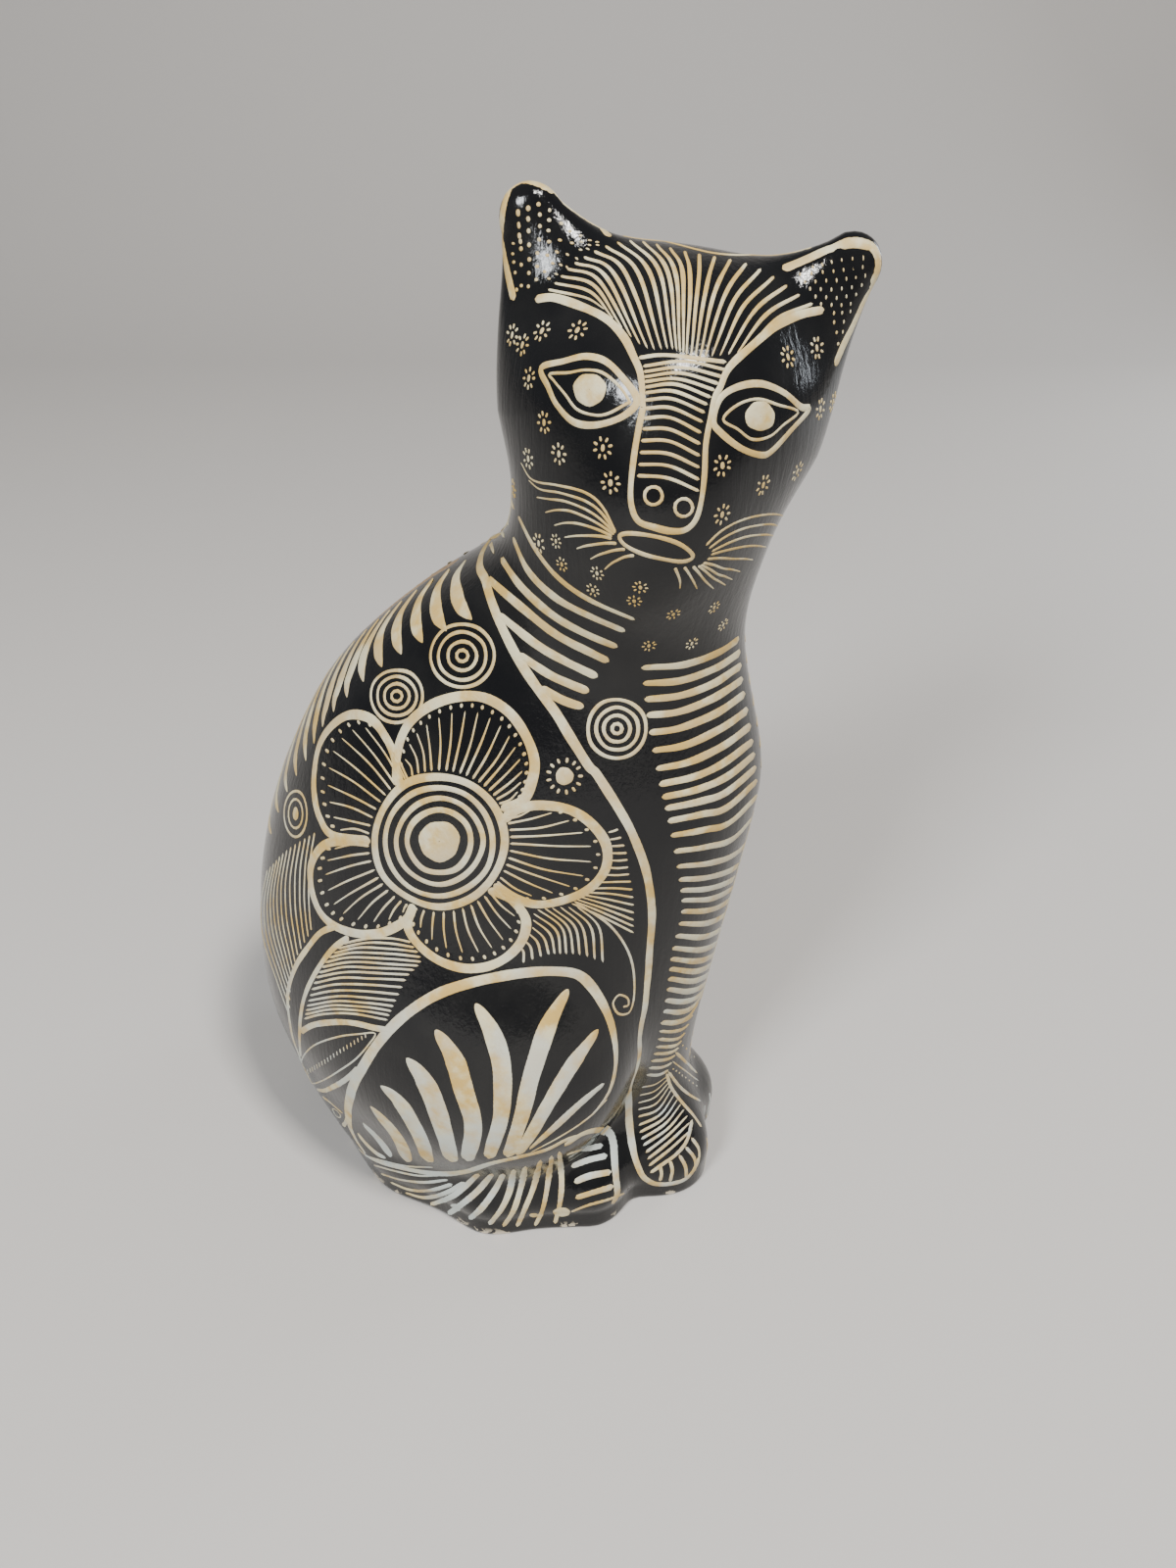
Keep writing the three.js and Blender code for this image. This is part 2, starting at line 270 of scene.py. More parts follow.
# The coin slot lies along the spine and is cut straight down through its slope into the hollow,
# with round ends. Bare clay shows in the cut and inside.
SLOT_LENGTH, SLOT_WIDTH, SLOT_BACK, SLOT_END_POINTS = 32.0, 5.5, 26.0, 13
around = np.linspace(0, math.pi, SLOT_END_POINTS)
half = (SLOT_LENGTH - SLOT_WIDTH) / 2
back_end = np.stack([SLOT_WIDTH / 2 * np.cos(around), half + SLOT_WIDTH / 2 * np.sin(around)], -1)
rim = np.concatenate([back_end, -back_end])
under_slot, up = np.array(((0, SLOT_BACK, FEET_LEVEL),)), np.array(((0, 0, 1.0),))
roof, mouth = (FEET_LEVEL + way_out(form, under_slot, up)[0] for form in (hollow, outside))
blade = np.stack([np.stack([rim[:, 0], SLOT_BACK + rim[:, 1], 0 * rim[:, 0] + z], -1)
                  for z in (roof - SLOT_LENGTH, mouth + SLOT_LENGTH)])
count = len(rim)
cutter = mesh_of("slot_cutter", blade.reshape(-1, 3), (
    grid_faces(2, count), np.arange(count)[None, ::-1], np.arange(count)[None] + count))

slip = bpy.data.materials.new("black_slip")
bare = bpy.data.materials.new("bare_clay")
cat.data.materials.append(slip)
for tool in (cavity, cutter):
    cat.data.materials.append(bare)
    tool.data.materials.append(slip)
    tool.data.materials.append(bare)
    tool.data.polygons.foreach_set("material_index", [1] * len(tool.data.polygons))
    cut = cat.modifiers.new("cut", "BOOLEAN")
    cut.operation, cut.solver, cut.object = "DIFFERENCE", "EXACT", tool
bpy.context.view_layer.update()
whole = bpy.data.meshes.new_from_object(cat.evaluated_get(bpy.context.evaluated_depsgraph_get()))
cat.modifiers.clear()
cat.data = whole
for tool in (cavity, cutter):
    bpy.data.objects.remove(tool)
whole.name = "cat_clay"
SHARP_EDGE = math.radians(40)
whole.shade_smooth()
whole.set_sharp_from_angle(angle=SHARP_EDGE)


def node_tree(material):
    """A material's nodes and links, with its shader."""
    material.use_nodes = True
    return material.node_tree.nodes, material.node_tree.links, material.node_tree.nodes["Principled BSDF"]


def node(nodes, kind, settings=(), **values):
    """A shader node with its settings and the values of its named inputs."""
    item = nodes.new("ShaderNode" + kind)
    for key, value in dict(settings).items():
        setattr(item, key, value)
    for key, value in values.items():
        item.inputs[key.replace("_", " ")].default_value = value
    return item


def group(name, inputs, outputs):
    """An empty node group with named inputs, given with their usual values, and named outputs."""
    tree = bpy.data.node_groups.new(name, "ShaderNodeTree")
    for label, usual in inputs.items():
        kind = "NodeSocketVector" if isinstance(usual, tuple) else "NodeSocketFloat"
        socket = tree.interface.new_socket(label, in_out="INPUT", socket_type=kind)
        socket.default_value = usual
    for label in outputs:
        tree.interface.new_socket(label, in_out="OUTPUT", socket_type="NodeSocketFloat")
    return tree, tree.nodes.new("NodeGroupInput"), tree.nodes.new("NodeGroupOutput")


def use(nodes, tree, **values):
    """A node group placed with its own values."""
    item = nodes.new("ShaderNodeGroup")
    item.node_tree = tree
    for key, value in values.items():
        item.inputs[key].default_value = value
    return item


# Cloudy patches: noise pushed through a soft step between two levels.
usual = {"Place": (0.0, 0.0, 0.0), "Scale": 40.0, "Low": 0.4, "High": 0.6}
clouds, enter, leave = group("clouds", usual, ["Amount"])
noise = node(clouds.nodes, "TexNoise", Detail=4.0, Roughness=0.6)
step = node(clouds.nodes, "MapRange", {"interpolation_type": "SMOOTHSTEP"})
clouds.links.new(enter.outputs["Place"], noise.inputs["Vector"])
clouds.links.new(enter.outputs["Scale"], noise.inputs["Scale"])
clouds.links.new(noise.outputs["Fac"], step.inputs["Value"])
clouds.links.new(enter.outputs["Low"], step.inputs["From Min"])
clouds.links.new(enter.outputs["High"], step.inputs["From Max"])
clouds.links.new(step.outputs["Result"], leave.inputs["Amount"])

# The slip is a thin coat of black clay, burnished with a stone before firing. It is glossy, with
# streaks from the stone and duller clouds, and its edge along the foot is chipped and rubbed pale.
DEEP_BLACK, DULL_BLACK = (0.0045, 0.0046, 0.0052, 1), (0.01, 0.0098, 0.0095, 1)
RUBBED_CLAY, RUBBED_TO, WORN_TO = (0.6, 0.52, 0.38, 1), 0.004, 0.0012
BURNISHED, DULLER, STREAK_ROUGHNESS, GRAIN_HEIGHT = 0.06, 0.15, 0.03, 0.35
nodes, links, shader = node_tree(slip)
where = node(nodes, "TexCoord")
parts = node(nodes, "SeparateXYZ")
links.new(where.outputs["Object"], parts.inputs["Vector"])
stretch = node(nodes, "Mapping", Scale=(3.0, 3.0, 0.35))
links.new(where.outputs["Object"], stretch.inputs["Vector"])
streaks = use(nodes, clouds, Scale=220.0, Low=0.35, High=0.7)
dull = use(nodes, clouds, Scale=28.0, Low=0.42, High=0.7)
grain = use(nodes, clouds, Scale=900.0, Low=0.3, High=0.7)
chips = use(nodes, clouds, Scale=170.0, Low=0.585, High=0.61)
links.new(stretch.outputs["Vector"], streaks.inputs["Place"])
for item in (dull, grain, chips):
    links.new(where.outputs["Object"], item.inputs["Place"])
foot = node(nodes, "MapRange", From_Min=RUBBED_TO, From_Max=WORN_TO, To_Min=0.0, To_Max=1.0)
links.new(parts.outputs["Z"], foot.inputs["Value"])
chipped = node(nodes, "Math", {"operation": "MULTIPLY"})
links.new(foot.outputs["Result"], chipped.inputs[0])
links.new(chips.outputs["Amount"], chipped.inputs[1])
black = node(nodes, "Mix", {"data_type": "RGBA"})
black.inputs["A"].default_value, black.inputs["B"].default_value = DEEP_BLACK, DULL_BLACK
links.new(dull.outputs["Amount"], black.inputs["Factor"])
paint = node(nodes, "Mix", {"data_type": "RGBA"})
paint.inputs["B"].default_value = RUBBED_CLAY
links.new(chipped.outputs["Value"], paint.inputs["Factor"])
links.new(black.outputs["Result"], paint.inputs["A"])
links.new(paint.outputs["Result"], shader.inputs["Base Color"])
rough = node(nodes, "Mix", {"data_type": "FLOAT"}, A=BURNISHED, B=DULLER)
links.new(dull.outputs["Amount"], rough.inputs["Factor"])
rougher = node(nodes, "Math", {"operation": "MULTIPLY_ADD"})
rougher.inputs[1].default_value = STREAK_ROUGHNESS
links.new(streaks.outputs["Amount"], rougher.inputs[0])
links.new(rough.outputs["Result"], rougher.inputs[2])
links.new(rougher.outputs["Value"], shader.inputs["Roughness"])
height = node(nodes, "Math", {"operation": "MULTIPLY_ADD"})
height.inputs[1].default_value = GRAIN_HEIGHT
links.new(grain.outputs["Amount"], height.inputs[0])
links.new(streaks.outputs["Amount"], height.inputs[2])
bump = node(nodes, "Bump", Strength=0.12, Distance=0.0004)
links.new(height.outputs["Value"], bump.inputs["Height"])
links.new(bump.outputs["Normal"], shader.inputs["Normal"])
shader.inputs["Specular IOR Level"].default_value = 0.32
shader.inputs["Coat Weight"].default_value = 0.05
shader.inputs["Coat Roughness"].default_value = 0.12

# Bare clay shows where the slot is cut and all over the hollow. It never had slip: it is dry, buff
# and a little sandy.
BUFF, DARK_BUFF = (0.42, 0.3, 0.19, 1), (0.3, 0.2, 0.12, 1)
nodes, links, shader = node_tree(bare)
where = node(nodes, "TexCoord")
patches = use(nodes, clouds, Scale=60.0, Low=0.3, High=0.7)
sand = use(nodes, clouds, Scale=1500.0, Low=0.3, High=0.7)
for item in (patches, sand):
    links.new(where.outputs["Object"], item.inputs["Place"])
buff = node(nodes, "Mix", {"data_type": "RGBA"})
buff.inputs["A"].default_value, buff.inputs["B"].default_value = BUFF, DARK_BUFF
links.new(patches.outputs["Amount"], buff.inputs["Factor"])
links.new(buff.outputs["Result"], shader.inputs["Base Color"])
bump = node(nodes, "Bump", Strength=0.4, Distance=0.0003)
links.new(sand.outputs["Amount"], bump.inputs["Height"])
links.new(bump.outputs["Normal"], shader.inputs["Normal"])
shader.inputs["Roughness"].default_value = 0.85
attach(cat, "root")
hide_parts("cat_bank")

# The patterns are scratched through the slip with narrow and broad tools while it is leather hard.
# Strokes on the right side and face are laid out in millimetres on a plane square to one line of
# sight, which has its turn round the upright and its fall below level in degrees.
EYE = np.array((-270.7, -109.4, 335.0))
EYE_TURN, EYE_PITCH, EYE_FOCUS = -72.92, 34.3, 27.05
LOOK, PITCH = math.radians(EYE_TURN), math.radians(EYE_PITCH)
FORWARD = np.array((-math.sin(LOOK) * math.cos(PITCH), math.cos(LOOK) * math.cos(PITCH), -math.sin(PITCH)))
RIGHT = np.array((math.cos(LOOK), math.sin(LOOK), 0))
UPWARD = np.cross(RIGHT, FORWARD)
PLANE = 300.5
MIRRORED = np.array((-1, 1, 1))
PROBE, NEAREST, TOUCHING = 0.1, 190.0, 0.02
CAST_STEPS, CAST_SHARE, LEAST_CAST = 80, 0.6, 0.05
BEHIND_HEAD, NEAR_HEAD = 60, 5.0


def slope(p):
    """The way out of the clay: the form read at four corners round the point, made unit long."""
    corners = np.array(((1, -1, -1), (-1, -1, 1), (-1, 1, -1), (1, 1, 1)))
    way = sum(outside(p + PROBE * c)[..., None] * c for c in corners)
    return way / (np.linalg.norm(way, axis=-1, keepdims=True) + 1e-12)


def settle(p):
    """Points moved along the slope by what the form still reads, twice over."""
    for _ in range(2):
        p = p - outside(p)[..., None] * slope(p)
    return p


def cast(origin, direction, start=NEAREST):
    """First meeting of rays with the cat, in steps that are a share of what the form reads.

    A ray that misses the cat ends at its nearest pass."""
    way = direction / np.linalg.norm(direction, axis=-1, keepdims=True)
    far = np.full(way.shape[:-1], start)
    best, least = far.copy(), np.full(far.shape, np.inf)
    for _ in range(CAST_STEPS):
        gap = outside(origin + far[..., None] * way)
        closer = gap < least
        best, least = np.where(closer, far, best), np.where(closer, gap, least)
        far = far + np.where(least > TOUCHING, np.maximum(CAST_SHARE * gap, LEAST_CAST), 0)
    return settle(origin + best[..., None] * way)


def seen(plane):
    """Lines from the eye through points of the plane in front of it, to where they meet the cat."""
    return cast(EYE, PLANE * FORWARD + plane[..., :1] * RIGHT + plane[..., 1:] * UPWARD)


def seen_left(plane):
    """The same lines mirrored to the cat's left side."""
    way = PLANE * FORWARD + plane[..., :1] * RIGHT + plane[..., 1:] * UPWARD
    return cast(EYE * MIRRORED, way * MIRRORED)


def wrapped(spots):
    """Turn in degrees and level in millimetres, carried level out from the middle line to the surface."""
    turn, level = np.radians(spots[..., 0]), spots[..., 1]
    origin = np.stack([0 * level, middle(level), level], -1)
    direction = np.stack([np.cos(turn), np.sin(turn), 0 * level], -1)
    return origin + way_out(outside, origin, direction)[..., None] * direction


def from_behind(plane):
    """Sideways and upward places on the head, carried forward from behind it to the surface."""
    start = np.stack([plane[..., 0], 0 * plane[..., 0] + BEHIND_HEAD, plane[..., 1]], -1)
    return cast(HEAD_CENTRE + start @ HEAD_AXES.T, 0 * start - HEAD_AXES[:, 1], NEAR_HEAD)


def curve(guides, count, closed=False, even=False):
    """Smooth curve through its guides: cubic pieces whose slope at a guide is that of its neighbours."""
    p = np.asarray(guides, float)
    pieces = p.shape[-2] - (0 if closed else 1)
    if closed:
        p = np.concatenate([p[..., -1:, :], p, p[..., :2, :]], -2)
        t = np.arange(count) * pieces / count
    else:
        p = np.concatenate([2 * p[..., :1, :] - p[..., 1:2, :], p, 2 * p[..., -1:, :] - p[..., -2:-1, :]], -2)
        share = np.linspace(0, 1, count)
        t = pieces * (share if even else (share + (1 - np.cos(math.pi * share)) / 2) / 2)
    i = np.minimum(t.astype(int), pieces - 1)
    f = (t - i)[:, None]
    a, b, c, d = (p[..., i + k, :] for k in range(4))
    return (2 * b + (c - a) * f + (2 * a - 5 * b + 4 * c - d) * f**2 + (3 * b - a - 3 * c + d) * f**3) / 2


def between(guides, count):
    """Strokes spread evenly through a few guide strokes, each guide having as many points."""
    return np.swapaxes(curve(np.swapaxes(np.asarray(guides, float), 0, 1), count, even=True), 0, 1)


hand = np.random.default_rng(17)
POINT_SPACING, FEWEST_POINTS, MOST_POINTS = 0.9, 9, 260
ACROSS = np.array((-1, -0.55, 0, 0.55, 1))
LIFT = np.array((-0.08, 0.1, 0.08, 0.1, -0.08))
NARROW, LEAST_END = 0.25, 0.02
SLOW_WAVER, QUICK_WAVER, DRIFT = 3.3, 1.4, 3.1
MOST_WAVER, WAVER_SHARE, MOST_DRIFT = 0.09, 0.1, 0.05
MOST_RING_WAVER, RING_WAVER_SHARE = 0.1, 0.08


def scratch(chart, guides, width, shape=(1, 1), closed=False):
    """Scratched strokes: a shallow hollow profile, as wide as the tool, carried along curves on the cat.

    The width follows the shape along the stroke, is rounded at the ends and wavers a little."""
    guides = np.asarray(guides, float)
    guides = guides[None] if guides.ndim == 2 else guides
    reach = np.linalg.norm(np.diff(guides, axis=1), axis=-1).sum(1).max()
    count = int(np.clip(reach / POINT_SPACING, FEWEST_POINTS, MOST_POINTS))
    spots = chart(curve(guides, count, closed))
    after = np.roll(spots, -1, 1) - np.roll(spots, 1, 1)
    if not closed:
        after[:, 0], after[:, -1] = spots[:, 1] - spots[:, 0], spots[:, -1] - spots[:, -2]
    out = slope(spots)
    side = np.cross(out, after)
    side /= np.linalg.norm(side, axis=-1, keepdims=True) + 1e-9
    steps = np.linalg.norm(np.diff(spots, axis=1), axis=-1)
    run = np.concatenate([np.zeros((len(spots), 1)), np.cumsum(steps, 1)], 1)
    full = run[:, -1:] + 1e-6
    width = np.broadcast_to(np.asarray(width, float).reshape(-1, 1), (len(spots), 1))
    half = width / 2 * np.interp(run / full, np.linspace(0, 1, len(shape)), shape)
    phase = hand.uniform(0, 2 * math.pi, (3, len(spots), 1))
    if closed:
        waver = np.sin(8 * math.pi * run / full + phase[0])
        half = half + np.minimum(MOST_RING_WAVER, RING_WAVER_SHARE * half) * waver
    else:
        waver = 0.6 * np.sin(run / SLOW_WAVER + phase[0]) + 0.4 * np.sin(run / QUICK_WAVER + phase[1])
        half = half + np.minimum(MOST_WAVER, WAVER_SHARE * half) * waver
        spots = spots + side * (MOST_DRIFT * np.sin(run / DRIFT + phase[2]))[..., None]
        tip = np.minimum(width / 2, full / 2)
        to_end = (1 - np.minimum(run, full - run) / tip).clip(0, 1)
        half = half * np.sqrt(np.clip(1 - to_end**2, LEAST_END, 1))
    low = np.minimum(1, half / NARROW)[..., None]
    rows = settle(spots[:, :, None] + side[:, :, None] * half[..., None, None] * ACROSS[:, None])
    rows = rows + slope(rows) * np.where(LIFT > 0, LIFT * low, LIFT)[..., None]
    across = len(ACROSS)
    size = count * across
    quads = grid_faces(count, across, wrap=False)
    if closed:
        first = np.arange(across - 1)
        last = size - across + first
        quads = np.concatenate([quads, np.stack([last, last + 1, first + 1, first], -1)])
    quads = quads[:, ::-1]
    return rows.reshape(-1, 3), (quads + np.arange(len(spots))[:, None, None] * size).reshape(-1, 4)


def dashes(chart, guides, count, length, width):
    """Short strokes set evenly along each guide, growing or shrinking from the first to the last."""
    line = curve(np.asarray(guides, float), 4 * count + 1, even=True)
    centre = line[..., 2::4, :]
    ahead = line[..., 3::4, :] - line[..., 1:-2:4, :]
    ahead /= np.linalg.norm(ahead, axis=-1, keepdims=True)
    size = np.linspace(length[0], length[1], count)[:, None] / 2
    ends = np.stack([centre - ahead * size, centre + ahead * size], -2).reshape(-1, 2, 2)
    return scratch(chart, ends, width)


DISC_SHARES, DISC_POINTS = np.array((0.02, 0.3, 0.6, 0.88, 1)), 28
DISC_LIFT = np.array((0.1, 0.1, 0.1, 0.1, -0.08))
RING_POINTS = 12


def disc(chart, centre, radius):
    """Scraped disc: rings round a centre on the surface, low at the edge and lifted inside it."""
    turn = np.linspace(0, 2 * math.pi, DISC_POINTS, endpoint=False)
    share = DISC_SHARES[:, None]
    wide, high = radius if isinstance(radius, tuple) else (radius, radius)
    waver = 1 + 0.03 * np.sin(3 * turn + hand.uniform(0, 6)) + 0.02 * np.sin(7 * turn)
    plane = np.stack([centre[0] + wide * share * np.cos(turn) * waver,
                      centre[1] + high * share * np.sin(turn) * waver], -1)
    rows = settle(chart(plane))
    rows = rows + slope(rows) * DISC_LIFT[:, None, None]
    rows = rows[::-1]
    return rows.reshape(-1, 3), grid_faces(len(DISC_LIFT), DISC_POINTS)[:, ::-1 if chart is seen_left else 1]


def ring(chart, centre, radius, width):
    """Closed circle or oval of one tool's width round a centre."""
    turn = np.linspace(0, 2 * math.pi, RING_POINTS, endpoint=False)
    wide, high = radius if isinstance(radius, tuple) else (radius, radius)
    waver = 1 + hand.uniform(-0.02, 0.02, RING_POINTS)
    plane = np.stack([centre[0] + wide * waver * np.cos(turn), centre[1] + high * waver * np.sin(turn)], -1)
    return scratch(chart, plane, width, closed=True)


def spread(chart, centre, count, radius, length, width):
    """Short strokes pointing away from a centre, evenly round it."""
    turn = 2 * math.pi * (np.arange(count) + hand.uniform(-0.12, 0.12, count)) / count
    away = np.stack([np.cos(turn), np.sin(turn)], -1)
    near = np.array(centre) + away * (radius - length / 2)
    return scratch(chart, np.stack([near, near + away * length], 1), width)


SEEDS, SEED_FROM, SEED_TO, SEED_WIDTH = 8, 1.35, 2.4, 0.72
HALF_CENTRE, CENTRE_WIDTH = 0.75, 1.25


def blossoms(chart, centres, size=1.0):
    """Small flowers laid out on the surface itself: a centre dot and seeds evenly round it."""
    spots = chart(np.asarray(centres, float)[None])[0]
    out = slope(spots)
    level = np.cross((0, 0, 1.0), out)
    level /= np.linalg.norm(level, axis=-1, keepdims=True)
    rise = np.cross(out, level)
    turn = (2 * math.pi * np.arange(SEEDS) / SEEDS + hand.uniform(0, 1, (len(spots), 1))
            + hand.uniform(-0.1, 0.1, (len(spots), SEEDS)))
    away = np.cos(turn)[..., None] * level[:, None] + np.sin(turn)[..., None] * rise[:, None]
    seeds = np.stack([spots[:, None] + SEED_FROM * size * away, spots[:, None] + SEED_TO * size * away], 2)
    dots = np.stack([spots - HALF_CENTRE * size * rise, spots + HALF_CENTRE * size * rise], 1)
    return [scratch(settle, seeds.reshape(-1, 2, 3), SEED_WIDTH * size),
            scratch(settle, dots, CENTRE_WIDTH * size)]


def rosette(chart, centre, radii, width):
    """Rings of one width round one centre, whose middle stays black."""
    return [ring(chart, centre, r, width) for r in radii]


SLOT_MARGIN = 0.5


def inlay(name, *strokes):
    """One mesh piece of many strokes, riding on the body, without the faces that lie over the slot."""
    flat = [s for item in strokes for s in (item if isinstance(item, list) else [item])]
    starts = np.cumsum([0] + [len(v) for v, _ in flat])[:-1]
    verts = np.concatenate([v for v, _ in flat])
    quads = np.concatenate([q + s for (_, q), s in zip(flat, starts)])
    beside, beyond = abs(verts[:, 0]) - SLOT_WIDTH / 2, abs(verts[:, 1] - SLOT_BACK) - SLOT_LENGTH / 2
    over = (np.maximum(beside, beyond) < SLOT_MARGIN) & (verts[:, 2] > roof)
    item = mesh_of(name, verts, [quads[~over[quads].any(1)]])
    item.data.shade_smooth()
    item.data.materials.append(clay)
    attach(item, "root")
    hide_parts("cat_bank")
    return item


# The scratched clay: where the slip is cut away the cream body shows, matt, with ochre clouds and a
# bluish bloom of slip dust lower down.
CREAM, OCHRE, BLUISH = (0.63, 0.55, 0.33, 1), (0.53, 0.35, 0.1, 1), (0.5, 0.54, 0.5, 1)
BLOOM_FROM, BLOOM_FULL = 0.2, 0.03
clay = bpy.data.materials.new("scratched_clay")
nodes, links, shader = node_tree(clay)
where = node(nodes, "TexCoord")
parts = node(nodes, "SeparateXYZ")
links.new(where.outputs["Object"], parts.inputs["Vector"])
ochre = use(nodes, clouds, Scale=100.0, Low=0.36, High=0.58)
bloom = use(nodes, clouds, Scale=48.0, Low=0.4, High=0.62)
grit = use(nodes, clouds, Scale=1100.0, Low=0.3, High=0.7)
for item in (ochre, bloom, grit):
    links.new(where.outputs["Object"], item.inputs["Place"])
low = node(nodes, "MapRange", From_Min=BLOOM_FROM, From_Max=BLOOM_FULL, To_Min=0.15, To_Max=1.0)
links.new(parts.outputs["Z"], low.inputs["Value"])
blue = node(nodes, "Math", {"operation": "MULTIPLY"})
links.new(low.outputs["Result"], blue.inputs[0])
links.new(bloom.outputs["Amount"], blue.inputs[1])
warm = node(nodes, "Mix", {"data_type": "RGBA"})
warm.inputs["A"].default_value, warm.inputs["B"].default_value = CREAM, OCHRE
links.new(ochre.outputs["Amount"], warm.inputs["Factor"])
cool = node(nodes, "Mix", {"data_type": "RGBA"})
cool.inputs["B"].default_value = BLUISH
links.new(blue.outputs["Value"], cool.inputs["Factor"])
links.new(warm.outputs["Result"], cool.inputs["A"])
links.new(cool.outputs["Result"], shader.inputs["Base Color"])
bump = node(nodes, "Bump", Strength=0.25, Distance=0.0002)
links.new(grit.outputs["Amount"], bump.inputs["Height"])
links.new(bump.outputs["Normal"], shader.inputs["Normal"])
shader.inputs["Roughness"].default_value = 0.46
shader.inputs["Specular IOR Level"].default_value = 0.3

# The face is scratched with the finest tool: a brow line that runs down beside the nose and back up,
# double-ringed eyes, a barred nose bridge, whiskers, and a fan of strokes over the forehead.
BROW_AND_NOSE = (
    (-13.5, 123.7), (-8.7, 124.1), (-2.1, 121.9), (4.5, 118.8), (8.9, 114.4), (11.4, 109.4), (13.4, 104.3),
    (14.0, 96.9), (14.0, 95.6), (12.9, 90.5), (11.7, 83.9), (10.9, 75.8), (11.2, 70.7), (12.9, 67.0),
    (16.9, 65.4), (21.3, 64.4), (25.0, 64.9), (27.6, 67.7), (29.0, 72.9), (29.8, 79.5), (30.1, 86.8),
    (31.2, 93.4), (32.3, 98.5), (33.8, 101.3), (36.0, 106.1), (41.1, 111.2), (47.7, 116.6), (54.3, 119.8),
    (60.2, 121.0))
EYES = (
    ((-12.0, 106.1), (-6.5, 107.8), (-0.7, 109.1), (4.5, 107.8), (9.2, 103.2), (12.5, 97.8), (8.9, 93.8),
        (2.3, 91.6), (-3.6, 92.3), (-8.0, 96.7), (-10.2, 101.3)),
    ((32.0, 92.7), (33.8, 98.4), (38.2, 101.3), (44.1, 102.1), (49.9, 99.9), (54.3, 96.2), (56.5, 95.6),
        (52.1, 90.5), (47.0, 85.0), (44.1, 83.9), (38.9, 85.7), (33.8, 89.7)))
EYE_LIDS = (
    ((-9.8, 104.6), (-5.1, 104.9), (-0.7, 105.6), (3.7, 104.9), (8.1, 101.3), (10.7, 97.3), (10.0, 97.1),
        (5.2, 94.5), (1.5, 94.1), (-2.9, 95.6), (-5.8, 99.3), (-8.7, 102.8)),
    ((34.5, 93.0), (38.2, 96.7), (43.3, 98.2), (48.5, 96.7), (53.6, 94.9), (49.9, 91.6), (46.3, 88.6),
        (41.9, 87.9), (38.2, 90.5)))
NOSE_BARS = (
    ((14.0, 106.6), (24.3, 107.8), (35.3, 105.6)), ((14.4, 96.9), (21.3, 97.2), (29.5, 93.5)),
    ((12.5, 78.6), (20.6, 78.0), (28.3, 74.7)))
FOREHEAD = (
    ((-10.2, 126.1), (-0.7, 124.1), (4.1, 121.1)), ((-2.5, 133.6), (5.2, 129.9), (14.0, 111.6)),
    ((10.0, 138.7), (17.7, 130.7), (21.3, 110.9)), ((25.4, 135.8), (26.5, 129.2), (25.4, 109.4)),
    ((42.6, 132.1), (36.0, 123.3), (30.9, 109.0)), ((57.3, 122.6), (47.7, 118.2), (40.4, 110.1)))
WHISKERS_RIGHT = (
    ((-17.2, 82.0), (-14.2, 77.6), (-8.0, 76.2), (-0.7, 74.3), (3.7, 70.7), (7.0, 64.1)),
    ((-11.7, 70.5), (-8.7, 70.8), (-5.1, 70.5), (-0.7, 68.8), (3.0, 66.6), (6.7, 63.7)),
    ((-5.1, 61.9), (-2.9, 62.3), (-0.3, 62.5), (2.3, 62.6), (4.5, 62.5), (6.3, 62.2)),
    ((4.1, 54.7), (5.9, 56.2), (7.8, 57.2), (9.2, 57.8), (10.7, 58.1), (11.8, 58.2)))
WHISKERS_LEFT = (
    ((51.4, 67.7), (47.7, 68.8), (40.4, 67.7), (34.5, 64.8), (30.1, 60.8)),
    ((47.0, 61.9), (43.7, 62.2), (40.4, 61.9), (36.0, 60.6), (31.6, 58.9)),
    ((38.9, 54.2), (36.7, 54.7), (34.5, 54.9), (32.0, 55.8), (29.4, 56.4)),
    ((33.8, 50.1), (32.3, 51.2), (30.9, 52.3), (29.3, 54.0), (27.6, 55.6)),
    ((23.5, 49.8), (23.6, 51.0), (23.4, 52.3), (22.8, 53.8), (22.2, 55.1)))
PUPILS = (((0.4, 100.6), 4.4), ((43.9, 93.8), 4.0))
TOP_BAR = ((12.9, 108.7), (20.6, 109.4), (35.3, 107.6))
NOSTRILS = ((16.7, 73.5), (24.4, 70.5))
MOUTH = (
    (8.1, 63.3), (11.1, 63.9), (17.7, 63.0), (23.5, 61.1), (26.8, 58.2), (24.3, 56.7), (18.4, 57.5),
    (13.3, 58.9), (9.2, 61.1))
BROW_SHAPE = (1.15, 1.2, 1.1, 0.85, 0.8, 0.8, 0.95, 0.8, 0.8, 0.85, 1.1, 1.2, 1.15)
FOREHEAD_STROKES = 23
forehead_widths = np.interp(np.arange(FOREHEAD_STROKES), (0, 6, FOREHEAD_STROKES - 1), (0.8, 1.15, 1.1))
inlay("face_lines",
    scratch(seen, BROW_AND_NOSE, 1.95, BROW_SHAPE),
    [scratch(seen, eye, 1.75, closed=True) for eye in EYES],
    [scratch(seen, lid, 0.75, closed=True) for lid in EYE_LIDS],
    [disc(seen, *pupil) for pupil in PUPILS],
    scratch(seen, TOP_BAR, 1.1),
    scratch(seen, between(NOSE_BARS, 14), 0.85),
    scratch(seen, between(FOREHEAD, FOREHEAD_STROKES), forehead_widths, (0.75, 1.05, 0.8, 0.4)),
    [ring(seen, nostril, 2.3, 0.85) for nostril in NOSTRILS],
    scratch(seen, MOUTH, 1.2, closed=True),
    scratch(seen, between(WHISKERS_RIGHT, 9), 0.75, (0.5, 0.9, 1, 1.2)),
    scratch(seen, between(WHISKERS_LEFT, 11), 0.7, (0.5, 0.9, 1, 1.2)))

